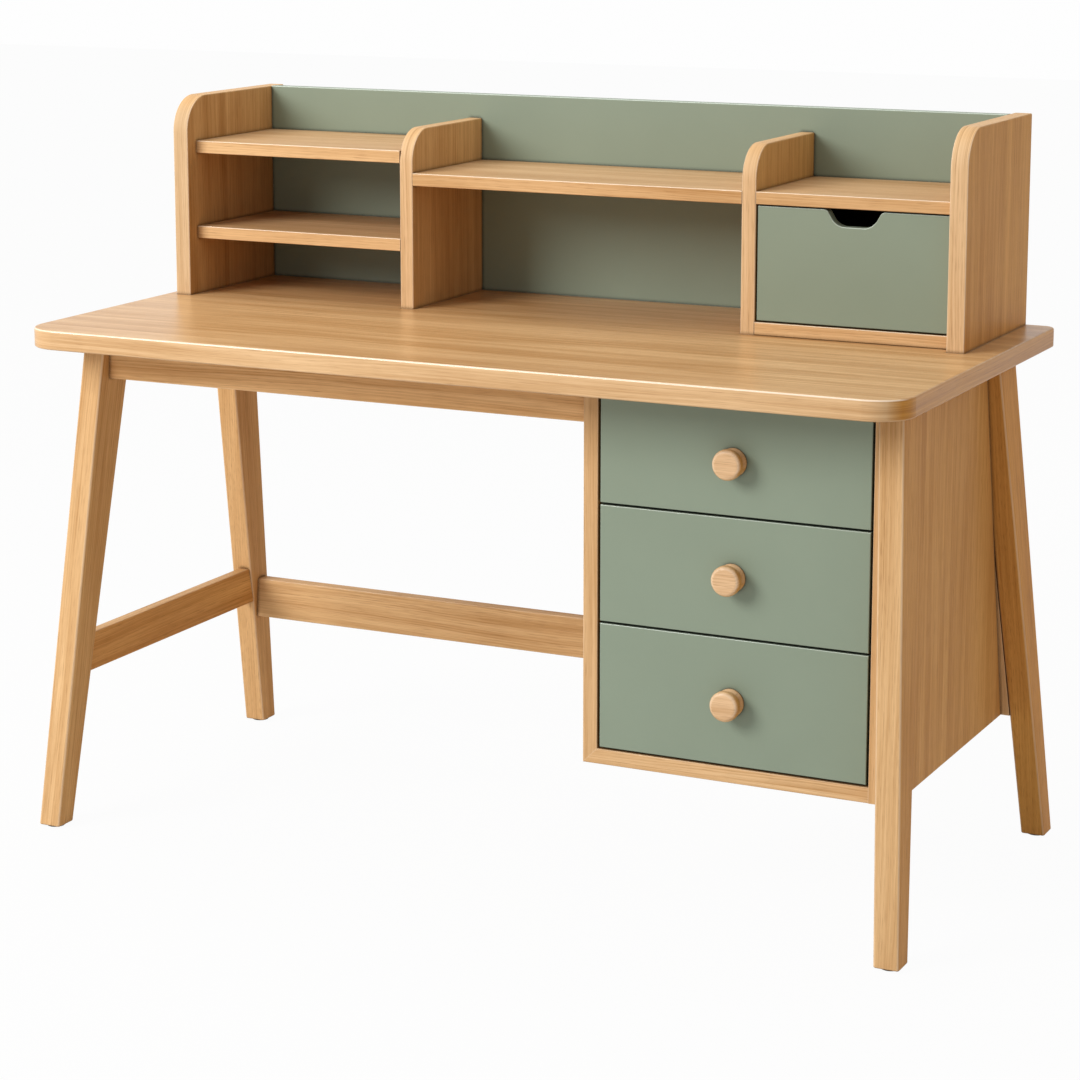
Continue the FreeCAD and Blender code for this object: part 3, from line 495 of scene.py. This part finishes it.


# Painted light and shade: each tone makes the oak lighter, darker, warmer or cooler on one face or
# piece, to stand in for how the light falls there.
class WoodTones(bpy.types.PropertyGroup):
    side: tone(
        "Right-hand faces", "faces to the right that have no tone of their own",
        0.99, 0.79, 0.50)
    desktop_top: tone("Desktop", "the desktop's upper face", 1.0, 0.98, 0.93)
    desktop_front: tone("Desktop's front", "the desktop's front edge", 1.00, 1.03, 1.10)
    desktop_end: tone("Desktop's end", "the desktop's right-hand end", 0.88, 0.62, 0.18)
    left_leg: tone(
        "Front left leg", "the right-hand side of the front left leg", 1.0, 0.92, 0.75)
    rear_left_side: tone(
        "Rear left leg", "the right-hand side of the rear left leg", 0.94, 0.80, 0.62)
    rear_left_front: tone(
        "Rear left leg's front", "the front of the rear left leg", 0.94, 0.89, 0.82)
    rear_right_side: tone(
        "Rear right leg", "the right-hand side of the rear right leg", 1.0, 0.72, 0.34)
    rear_right_front: tone(
        "Rear right leg's front", "the front of the rear right leg", 0.92, 0.72, 0.38)
    # The front rail is painted lighter, against the shadow that the desktop casts on it.
    apron: tone("Front rail", "the front of the rail under the desktop", 1.16, 1.13, 1.10)
    case_left: tone(
        "Case's left edge", "the front edge of the case's left side", 0.98, 0.99, 1.03)
    case_bottom: tone("Case bottom", "the front edge of the case's bottom", 1.09, 1.14, 1.24)
    knob: tone("Knobs", "the front of the turned knobs", 1.05, 1.11, 1.31)
    upright_front: tone(
        "Uprights", "the front edges of the hutch's dividers and right side", 1.02, 1.08, 1.21)
    left_upright_front: tone(
        "Left upright", "the front edge of the hutch's left side", 0.93, 1.02, 1.19)
    left_upright_side: tone(
        "Left upright's face", "the right-hand face of the hutch's left side", 0.87, 0.78, 0.62)
    left_divider_side: tone(
        "Left divider", "the right-hand face of the hutch's left divider", 0.98, 0.92, 0.77)
    right_divider_side: tone(
        "Right divider", "the right-hand face of the hutch's right divider", 0.94, 0.88, 0.65)
    right_upright_side: tone(
        "Right upright's face", "the right-hand face of the hutch's right side",
        0.98, 0.76, 0.44)
    shelf_top: tone("Shelves", "the shelves' upper faces", 0.89, 0.90, 0.93)


class PaintFinish(bpy.types.PropertyGroup):
    paint: FloatVectorProperty(
        name="Paint", description="Colour of the painted boards",
        subtype="COLOR", size=4, min=0, max=1, default=(0.233, 0.280, 0.207, 1))
    # The rubbed edge colour is rubbed paint and a painted highlight.
    rubbed: FloatVectorProperty(
        name="Rubbed edge", description="Colour of the paint along its edges",
        subtype="COLOR", size=4, min=0, max=1, default=(0.46, 0.53, 0.44, 1))
    stipple: FloatProperty(
        name="Stipple size", description="Size of the dimples that the roller leaves",
        unit="LENGTH", default=0.0012, min=0.0002, max=0.01)
    roughness: FloatProperty(
        name="Paint roughness", description="How matt the paint is",
        subtype="FACTOR", default=0.43, min=0, max=1)


class InsideFinish(bpy.types.PropertyGroup):
    light_wood: FloatVectorProperty(
        name="Birch", description="Colour of the unstained wood inside the drawers and the case",
        subtype="COLOR", size=4, min=0, max=1, default=(0.73, 0.52, 0.32, 1))
    dark_wood: FloatVectorProperty(
        name="Birch rings", description="Colour of that wood's rings",
        subtype="COLOR", size=4, min=0, max=1, default=(0.56, 0.36, 0.19, 1))
    steel: FloatVectorProperty(
        name="Zinc", description="Colour of the plated screws",
        subtype="COLOR", size=4, min=0, max=1, default=(0.62, 0.62, 0.63, 1))
    felt: FloatVectorProperty(
        name="Felt", description="Colour of the pads under the feet",
        subtype="COLOR", size=4, min=0, max=1, default=(0.26, 0.21, 0.16, 1))


class Studio(bpy.types.PropertyGroup):
    floor_size: FloatProperty(
        name="Floor size", description="Length of the floor's sides",
        unit="LENGTH", default=30.0, min=4.0, max=100.0)
    floor_colour: FloatVectorProperty(
        name="Floor", description="Colour of the floor",
        subtype="COLOR", size=4, min=0, max=1, default=(0.72, 0.71, 0.69, 1))
    key_power: FloatProperty(
        name="Key lamp", description="Power of the large soft lamp at the front left",
        unit="POWER", default=232.75, min=0.0)
    top_power: FloatProperty(
        name="Top lamp", description="Power of the large soft lamp above",
        unit="POWER", default=34.2, min=0.0)
    sky: FloatProperty(
        name="Room light", description="Strength of the even light from all round",
        default=0.55, min=0.0)


# Finishes

def fibre_frame(along, across):
    """The turn that brings a board's fibres to X and its width to Y."""
    along = along.normalized()
    through = along.cross(across).normalized()
    width = through.cross(along)
    return Matrix((along, width, through)).to_euler()


def plain_material(name):
    """A material with no nodes yet, and its tree."""
    made = bpy.data.materials.new(name)
    made.use_nodes = True
    made.node_tree.nodes.clear()
    return made, made.node_tree


def finished(tree, **sockets):
    """Adds the shader and the output of a material."""
    shader = add(tree, "BsdfPrincipled", {k.replace("_", " "): v for k, v in sockets.items()})
    add(tree, "OutputMaterial", {"Surface": shader.outputs[0]})


def bumped(tree, height, depth, strength):
    """The normal of a surface with small heights, whose full depth is in metres."""
    made = add(tree, "Bump", {"Height": height, "Distance": depth, "Strength": strength})
    return made.outputs[0]


def shaded(colour, factor):
    """A colour made darker by a factor."""
    return [part * factor for part in colour[:3]] + [1]


def with_seams(tree, colour, shade_colour):
    """A colour with painted shade in thin lines where pieces meet."""
    contact_shade = placed(tree, "Contact", {})["Mask"]
    return blended(tree, sums(tree, "MULTIPLY", contact_shade, CONTACT_SHADE_SHARE), colour, shade_colour)


def wood(name, along, across, seed, grain, roughness, edge, gloss=0.08, side=PLAIN, front=PLAIN,
         top=PLAIN, rim_share=0.0, banded=False, hollow=0.0):
    """A lacquered wood whose fibres run along one direction of the piece.

    grain holds inputs of the group Wood grain. side, front and top are painted light and shade on
    those faces, the arris share is how strongly a highlight is painted on the front arris, and
    banded turns the grain of the narrow faces.
    The hollow reach is the reach in metres over which the wood inside a shut box gets painted
    shade."""
    made, tree = plain_material(name)
    given = add(tree, "TexCoord").outputs
    spot, facing = given["Object"], given["Normal"]
    place = add(tree, "Mapping", {
        "Vector": spot,
        "Rotation": fibre_frame(along, across),
        "Location": (
            seed * BOARD_STEP_ALONG % BOARD_REACH_ALONG,
            seed * BOARD_STEP_ACROSS % BOARD_REACH_ACROSS,
            0.0,
        ),
    }).outputs[0]
    band = placed(tree, "Edge band", {
        "Place": place, "Facing": facing, "Through": along.cross(across).normalized()})
    figure = placed(tree, "Wood grain", {
        "Place": band["Place"] if banded else place, "Seed": seed, **grain})
    # The faces to the right, to the front and above get painted light and shade.
    lit_and_shaded = placed(tree, "Cut tone", {
        "Color": figure["Color"], "Facing": facing, "Side": side, "Front": front, "Top": top})
    worn_and_lit = placed(tree, "Worn edge", {
        "Place": spot, "Width": edge, "Patchiness": WOOD_PATCHINESS})
    # The worn edges and the front arris are painted paler: wear, and a painted highlight.
    wear_and_highlight = sums(tree, "MAXIMUM", sums(tree, "MULTIPLY", worn_and_lit["Mask"], WOOD_WEAR_AND_HIGHLIGHT),
               sums(tree, "MULTIPLY", band["Arris"], rim_share))
    worn_and_highlit_colour = [part ** WORN_AND_HIGHLIT_LIGHTNESS for part in grain["Light Wood"][:3]] + [1]
    colour = blended(tree, wear_and_highlight, lit_and_shaded["Color"], worn_and_highlit_colour)
    # Painted shade in the seams where pieces meet.
    colour = with_seams(tree, colour, shaded(grain["Pore"], WOOD_CONTACT_SHADE))
    # Painted dark shade inside shut boxes.
    if hollow:
        shut = placed(tree, "Shut hollow", {"Reach": hollow})["Mask"]
        colour = blended(tree, shut, colour, shaded(grain["Pore"], PAINTED_HOLLOW_SHADE))
    feel = placed(tree, "Handling", {
        "Place": spot, "Roughness": roughness, "Spread": WOOD_SHEEN_SPREAD,
        "Extra": sums(tree, "MULTIPLY", figure["Open Grain"], OPEN_GRAIN_DULLNESS)})
    finished(tree, Base_Color=colour, Roughness=feel["Roughness"], Specular_IOR_Level=gloss,
             Coat_Weight=wear_and_highlight, Coat_Roughness=0.12,
             Normal=bumped(tree, figure["Height"], depth=0.00012, strength=0.6))
    return made


def oak(name, along, across, seed, wide=False, gloss=0.04, side=None, front=PLAIN, top=PLAIN,
        figure=1.0, rim_share=0.2, smoothing=1.0):
    """Oak with its lacquer. A wide board is glued from staves, and its narrow faces are lipped.

    figure is how strong the grain is, and smoothing is what is left of the roughness."""
    look = bpy.context.scene.desk_wood
    grain = {
        "Light Wood": look.light_wood, "Dark Wood": look.dark_wood, "Pore": look.pore,
        "Ring Spacing": look.ring_spacing, "Stave Width": look.stave_width if wide else ONE_STAVE,
        "Pore Strength": OAK_PORES,
        **{part: strength * figure for part, strength in OAK_FIGURE.items()},
    }
    return wood(name, along, across, seed, grain, look.roughness * smoothing, look.edge_width,
                gloss, side or bpy.context.scene.desk_tones.side, front, top, rim_share, wide)


def birch(name, along, across, seed, hollow=0.0):
    """Birch with a thin lacquer, as the boxes of the drawers and the inside of the case have."""
    look = bpy.context.scene.desk_inside
    grain = {
        "Light Wood": look.light_wood, "Dark Wood": look.dark_wood, "Pore": look.dark_wood,
        "Stave Width": ONE_STAVE, **BIRCH_FIGURE,
    }
    return wood(name, along, across, seed, grain, BIRCH_ROUGHNESS, BIRCH_EDGE, hollow=hollow)


def sage_paint(name):
    """Satin paint with the roller's fine stipple, and paler along the edges, where it is rubbed and
    where a highlight is painted.
    """
    look = bpy.context.scene.desk_paint
    made, tree = plain_material(name)
    given = add(tree, "TexCoord").outputs
    spot, facing = given["Object"], given["Normal"]
    feel = placed(tree, "Handling", {
        "Place": spot, "Roughness": look.roughness, "Spread": 0.12, "Extra": 0.0})
    worn_and_lit = placed(tree, "Worn edge", {"Place": spot, "Width": PAINT_EDGE, "Patchiness": 0.3})
    arris = placed(tree, "Edge band", {
        "Place": spot, "Facing": facing, "Through": ALONG_Y})["Arris"]
    # The upper arrises, which face the light, get a painted highlight, and the worn edges are
    # rubbed paler.
    rising = spread_to(tree, axes(tree, facing)[2], *LEVEL_TO_RISING)
    wear_and_highlight = sums(tree, "MAXIMUM", sums(tree, "MULTIPLY", worn_and_lit["Mask"], PAINT_WEAR_AND_HIGHLIGHT),
               sums(tree, "MULTIPLY", arris, rising))
    coat = blended(tree, spread_to(tree, feel["Tone"], *TONE_RANGE),
                   shaded(look.paint, THIN_COAT), look.paint)
    colour = blended(tree, wear_and_highlight, coat, look.rubbed)
    # Painted shade in the seams where pieces meet.
    colour = with_seams(tree, colour, shaded(look.paint, PAINT_CONTACT_SHADE))
    scale = 1 / look.stipple
    lengthways, crossways = scale / STROKE_LENGTH, scale / STROKE_WIDTH
    dimples = noise(tree, spot, (scale, scale, scale))
    strokes = noise(tree, spot, (lengthways, lengthways, crossways))
    relief = sums(tree, "MULTIPLY_ADD", strokes, STROKE_SHARE, dimples)
    finished(tree, Base_Color=colour, Roughness=feel["Roughness"], Specular_IOR_Level=0.3,
             Coat_Weight=wear_and_highlight, Coat_Roughness=0.2,
             Normal=bumped(tree, relief, depth=0.00006, strength=0.5))
    return made


def zinc(name):
    """Zinc plating with a spangle and fine scuffs."""
    look = bpy.context.scene.desk_inside
    made, tree = plain_material(name)
    spot = add(tree, "TexCoord").outputs["Object"]
    spangle = add(tree, "TexVoronoi", {"Vector": spot, "Scale": SPANGLE_SCALE})
    scuffs = noise(tree, spot, SCUFFS)
    mottled = spread_to(tree, spangle.outputs["Distance"], *SPANGLE_RANGE)
    colour = blended(tree, mottled, look.steel, shaded(look.steel, SPANGLE_SHADE))
    feel = placed(tree, "Handling", {
        "Place": spot, "Roughness": 0.34, "Spread": 0.2,
        "Extra": sums(tree, "MULTIPLY", scuffs, SCUFF_DULLNESS)})
    finished(tree, Base_Color=colour, Metallic=1.0, Roughness=feel["Roughness"],
             Normal=bumped(tree, scuffs, depth=0.00004, strength=0.5))
    return made


def felt(name):
    """Pressed wool felt with crossing fibres."""
    look = bpy.context.scene.desk_inside
    made, tree = plain_material(name)
    spot = add(tree, "TexCoord").outputs["Object"]
    matted = sums(tree, "MAXIMUM", noise(tree, spot, FELT_ONE_WAY),
                  noise(tree, spot, FELT_OTHER_WAY))
    colour = blended(tree, spread_to(tree, matted, *FELT_RANGE),
                     shaded(look.felt, FELT_SHADE), look.felt)
    feel = placed(tree, "Handling", {
        "Place": spot, "Roughness": 0.93, "Spread": 0.08, "Extra": 0.0})
    finished(tree, Base_Color=colour, Roughness=feel["Roughness"], Sheen_Weight=0.25,
             Normal=bumped(tree, matted, depth=0.0003, strength=0.9))
    return made


SHARED = {"Sage paint": sage_paint, "Zinc plating": zinc, "Pressed felt": felt}


def dress(node, material):
    """Gives every material slot of a piece one material."""
    if node not in NODES:
        raise KeyError(f"the frame has no piece named {node}")
    piece = NODES[node]
    if not piece.material_slots:
        piece.data.materials.append(material)
    for spot in piece.material_slots:
        spot.material = material


def dress_shared(name, nodes):
    """Gives pieces a finish that is made once and shared."""
    material = bpy.data.materials.get(name) or SHARED[name](name)
    for node in nodes:
        dress(node, material)


def dress_wood(boards, finish, first_seed):
    """A wood of its own for each board, so that no two have the same grain.

    Each board is (node, direction of the fibres, direction across them, options or nothing)."""
    for count, (node, along, across, *options) in enumerate(boards):
        name = f"{finish.__name__.title()} {node.replace('_', ' ')}"
        dress(node, finish(name, along, across, first_seed + count, **dict(*options)))


def dress_box(prefix, seed, hollow=0.0):
    """Birch for the sides, back and bottom of a drawer's box."""
    dress_wood([
        (f"{prefix}_{board}", along, across, {"hollow": hollow})
        for board, along, across in (
            ("side_left", ALONG_Y, ALONG_Z),
            ("side_right", ALONG_Y, ALONG_Z),
            ("back", ALONG_X, ALONG_Z),
            ("bottom", ALONG_X, ALONG_Y),
        )
    ], birch, seed)


# Operators

class DESK_OT_top(bpy.types.Operator):
    """Finishes the desktop, glued up from long oak staves"""
    bl_idname = "desk.top"
    bl_label = "Desktop"

    def execute(self, context):
        face_light = context.scene.desk_tones
        dress_wood([("desktop", ALONG_X, ALONG_Y, {
            "wide": True, "gloss": 0.24, "figure": 1.05, "rim_share": 0.65, "smoothing": 0.75,
            "side": face_light.desktop_end, "front": face_light.desktop_front, "top": face_light.desktop_top,
        })], oak, DESKTOP_SEED)
        return {"FINISHED"}


class DESK_OT_legs(bpy.types.Operator):
    """Finishes the four splayed legs, with the grain along each, and the felt pads under them"""
    bl_idname = "desk.legs"
    bl_label = "Legs and pads"

    def execute(self, context):
        face_light = context.scene.desk_tones
        dress_wood([
            (node, Vector((sideways, lengthways, 1.0)), ALONG_X,
             {"figure": 0.85, "side": side, "front": front})
            for node, sideways, lengthways, side, front in (
                ("leg_front_left", LEAN_SIDEWAYS, LEAN_LENGTHWAYS, face_light.left_leg, PLAIN),
                ("leg_front_right", -LEAN_SIDEWAYS, LEAN_LENGTHWAYS, face_light.side, PLAIN),
                ("leg_rear_left", LEAN_SIDEWAYS, -LEAN_LENGTHWAYS,
                 face_light.rear_left_side, face_light.rear_left_front),
                ("leg_rear_right", -LEAN_SIDEWAYS, -LEAN_LENGTHWAYS,
                 face_light.rear_right_side, face_light.rear_right_front),
            )
        ], oak, LEG_SEED)
        dress_shared("Pressed felt", ["foot_pads"])
        return {"FINISHED"}


class DESK_OT_rails(bpy.types.Operator):
    """Finishes the rails under the desktop, the stretchers and the corner blocks"""
    bl_idname = "desk.rails"
    bl_label = "Rails and stretchers"

    def execute(self, context):
        dress_wood([
            ("apron_front", ALONG_X, ALONG_Z, {"front": context.scene.desk_tones.apron}),
            ("apron_rear", ALONG_X, ALONG_Z),
            ("rail_left", ALONG_Y, ALONG_Z),
            ("stretcher_left", ALONG_Y, ALONG_Z),
            ("stretcher_back", ALONG_X, ALONG_Z),
        ], oak, RAIL_SEED)
        dress_wood([("corner_blocks", ALONG_X, ALONG_Y)], birch, BLOCK_SEED)
        return {"FINISHED"}


class DESK_OT_case(bpy.types.Operator):
    """Finishes the drawer case: oak outside, birch inside"""
    bl_idname = "desk.case"
    bl_label = "Drawer case"

    def execute(self, context):
        face_light = context.scene.desk_tones
        side = {"wide": True, "figure": 0.85}
        dress_wood([
            ("case_side_left", ALONG_Z, ALONG_Y, {**side, "front": face_light.case_left}),
            ("case_side_right", ALONG_Z, ALONG_Y, side),
            ("case_bottom", ALONG_X, ALONG_Y, {"wide": True, "front": face_light.case_bottom}),
        ], oak, CASE_SEED)
        dress_wood([
            ("case_back", ALONG_Z, ALONG_X),
            ("case_top_rail_front", ALONG_X, ALONG_Y),
            ("case_top_rail_rear", ALONG_X, ALONG_Y),
            ("drawer_runners", ALONG_Y, ALONG_Z),
        ], birch, CASE_INSIDE_SEED)
        return {"FINISHED"}


class DESK_OT_case_drawers(bpy.types.Operator):
    """Finishes the three case drawers: painted fronts, turned oak knobs and birch boxes"""
    bl_idname = "desk.case_drawers"
    bl_label = "Case drawers"

    def execute(self, context):
        turned = {"figure": 0.7, "front": context.scene.desk_tones.knob}
        for count, word in enumerate(("lower", "middle", "upper")):
            prefix = f"drawer_{word}"
            dress_shared("Sage paint", [f"{prefix}_front"])
            dress_shared("Zinc plating", [f"{prefix}_knob_screw"])
            dress_wood([(f"{prefix}_knob", ALONG_X, ALONG_Z, turned)], oak,
                       KNOB_SEED + KNOB_SEED_STEP * count)
            dress_box(prefix, BOX_SEED + BOX_SEED_STEP * count)
        return {"FINISHED"}


class DESK_OT_hutch(bpy.types.Operator):
    """Finishes the hutch: oak uprights and shelves in front of a painted back"""
    bl_idname = "desk.hutch"
    bl_label = "Hutch"

    def execute(self, context):
        face_light = context.scene.desk_tones
        upright = {"wide": True, "figure": 0.85, "rim_share": 0.3}
        dress_wood([
            (node, ALONG_Z, ALONG_Y, {**upright, "front": front, "side": side})
            for node, front, side in (
                ("hutch_side_left", face_light.left_upright_front, face_light.left_upright_side),
                ("hutch_divider_left", face_light.upright_front, face_light.left_divider_side),
                ("hutch_divider_right", face_light.upright_front, face_light.right_divider_side),
                ("hutch_side_right", face_light.upright_front, face_light.right_upright_side),
            )
        ], oak, UPRIGHT_SEED)
        shelf = {"wide": True, "gloss": 0.08, "figure": 0.9, "rim_share": 0.6,
                 "top": face_light.shelf_top}
        dress_wood([
            (node, ALONG_X, ALONG_Y, shelf)
            for node in ("shelf_left_upper", "shelf_left_lower", "shelf_middle", "shelf_right",
                         "hutch_drawer_floor")
        ], oak, SHELF_SEED)
        dress_shared("Sage paint", ["hutch_back"])
        return {"FINISHED"}


class DESK_OT_hutch_drawer(bpy.types.Operator):
    """Finishes the small drawer: a painted front with a finger notch, and a birch box"""
    bl_idname = "desk.hutch_drawer"
    bl_label = "Small drawer"

    def execute(self, context):
        dress_shared("Sage paint", ["hutch_drawer_front"])
        # The small box's wood gets painted dark shade where it is shut in.
        dress_box("hutch_drawer", SMALL_BOX_SEED, PAINTED_HOLLOW_REACH)
        return {"FINISHED"}


class DESK_OT_screws(bpy.types.Operator):
    """Finishes the plated screws that hold the desktop and the hutch"""
    bl_idname = "desk.screws"
    bl_label = "Screws"

    def execute(self, context):
        dress_shared("Zinc plating", ["top_screws", "hutch_screws"])
        return {"FINISHED"}


def pale_to_eye(tree, lit, share):
    """A shader that mirrors and the eye see as white, by a share, and that is lit as usual."""
    path = add(tree, "LightPath").outputs
    seen = sums(tree, "MAXIMUM", path["Is Camera Ray"], path["Is Glossy Ray"])
    seen = sums(tree, "MAXIMUM", seen, path["Is Transmission Ray"])
    white = add(tree, "Emission", {"Color": WHITE, "Strength": 1.0}).outputs[0]
    mixed = add(tree, "MixShader", {0: sums(tree, "MULTIPLY", seen, share), 1: lit, 2: white})
    return mixed.outputs[0]


def add_floor(scene, look):
    """The wide pale floor that the desk stands on."""
    half = look.floor_size / 2
    corners = [(-half, -half, 0), (half, -half, 0), (half, half, 0), (-half, half, 0)]
    mesh = bpy.data.meshes.new("studio_floor")
    mesh.from_pydata(corners, [], [(0, 1, 2, 3)])
    floor = bpy.data.objects.new("studio_floor", mesh)
    scene.collection.objects.link(floor)
    made, tree = plain_material("Pale floor")
    spot = add(tree, "TexCoord").outputs["Object"]
    shade = blended(tree, pattern(tree, spot, FLOOR_MOTTLE),
                    shaded(look.floor_colour, MOTTLE_SHADE), look.floor_colour)
    lit = add(tree, "BsdfPrincipled", {"Base Color": shade, "Roughness": FLOOR_ROUGHNESS})
    add(tree, "OutputMaterial", {"Surface": pale_to_eye(tree, lit.outputs[0], FLOOR_WHITE_SHARE)})
    mesh.materials.append(made)


def add_room_light(scene, look):
    """Even light from all round."""
    world = bpy.data.worlds.new("Studio room")
    world.use_nodes = True
    tree = world.node_tree
    tree.nodes.clear()
    even = add(tree, "Background", {"Color": (1, 1, 1, 1), "Strength": look.sky}).outputs[0]
    add(tree, "OutputWorld", {"Surface": pale_to_eye(tree, even, ROOM_WHITE_SHARE)})
    scene.world = world


def add_lamp(scene, name, place, size, power):
    """A square soft lamp that is turned to the desk."""
    data = bpy.data.lights.new(name, "AREA")
    data.shape = "SQUARE"
    data.size = size
    data.energy = power
    lamp = bpy.data.objects.new(name, data)
    lamp.location = place
    lamp.rotation_euler = (LAMP_AIM - place).to_track_quat("-Z", "Y").to_euler()
    scene.collection.objects.link(lamp)


def add_camera(scene):
    """The camera, at the front right and a little above the desk."""
    data = bpy.data.cameras.new("desk_camera")
    data.sensor_width = CAMERA_FILM
    data.lens = CAMERA_LENS
    data.shift_y = CAMERA_SHIFT
    data.clip_end = CAMERA_SIGHT
    camera = bpy.data.objects.new("desk_camera", data)
    camera.location = CAMERA_PLACE
    camera.rotation_euler = (math.radians(90 - CAMERA_DIP), 0, math.radians(CAMERA_TURN))
    scene.collection.objects.link(camera)
    scene.camera = camera


class DESK_OT_studio(bpy.types.Operator):
    """Sets up the pale floor, the soft light and the camera"""
    bl_idname = "desk.studio"
    bl_label = "Studio"

    def execute(self, context):
        scene = context.scene
        look = scene.desk_studio
        add_floor(scene, look)
        add_room_light(scene, look)
        add_lamp(scene, "key_lamp", KEY_LAMP_PLACE, KEY_LAMP_SIZE, look.key_power)
        add_lamp(scene, "top_lamp", TOP_LAMP_PLACE, TOP_LAMP_SIZE, look.top_power)
        add_camera(scene)
        scene.view_settings.view_transform = "Standard"
        return {"FINISHED"}


PIECES = (
    DESK_OT_top, DESK_OT_legs, DESK_OT_rails, DESK_OT_case, DESK_OT_case_drawers,
    DESK_OT_hutch, DESK_OT_hutch_drawer, DESK_OT_screws, DESK_OT_studio,
)
SETTINGS = {
    "desk_wood": WoodFinish,
    "desk_tones": WoodTones,
    "desk_paint": PaintFinish,
    "desk_inside": InsideFinish,
    "desk_studio": Studio,
}


class DESK_PT_pieces(bpy.types.Panel):
    """Lists the desk's sizes, colours and pieces"""
    bl_idname = "DESK_PT_pieces"
    bl_label = "Desk with shelves"
    bl_space_type = "VIEW_3D"
    bl_region_type = "UI"
    bl_category = "Desk"

    def draw(self, context):
        for name, kind in SETTINGS.items():
            box = self.layout.box()
            for label in kind.__annotations__:
                box.prop(getattr(context.scene, name), label)
        for piece in PIECES:
            self.layout.operator(piece.bl_idname)


def register():
    for kind in (*SETTINGS.values(), *PIECES, DESK_PT_pieces):
        bpy.utils.register_class(kind)
    for name, kind in SETTINGS.items():
        setattr(bpy.types.Scene, name, PointerProperty(type=kind))


def unregister():
    for name in SETTINGS:
        delattr(bpy.types.Scene, name)
    for kind in reversed((*SETTINGS.values(), *PIECES, DESK_PT_pieces)):
        bpy.utils.unregister_class(kind)


def main():
    register()
    for piece in PIECES:
        family, verb = piece.bl_idname.split(".")
        getattr(getattr(bpy.ops, family), verb)()


if __name__ == "__main__":
    main()
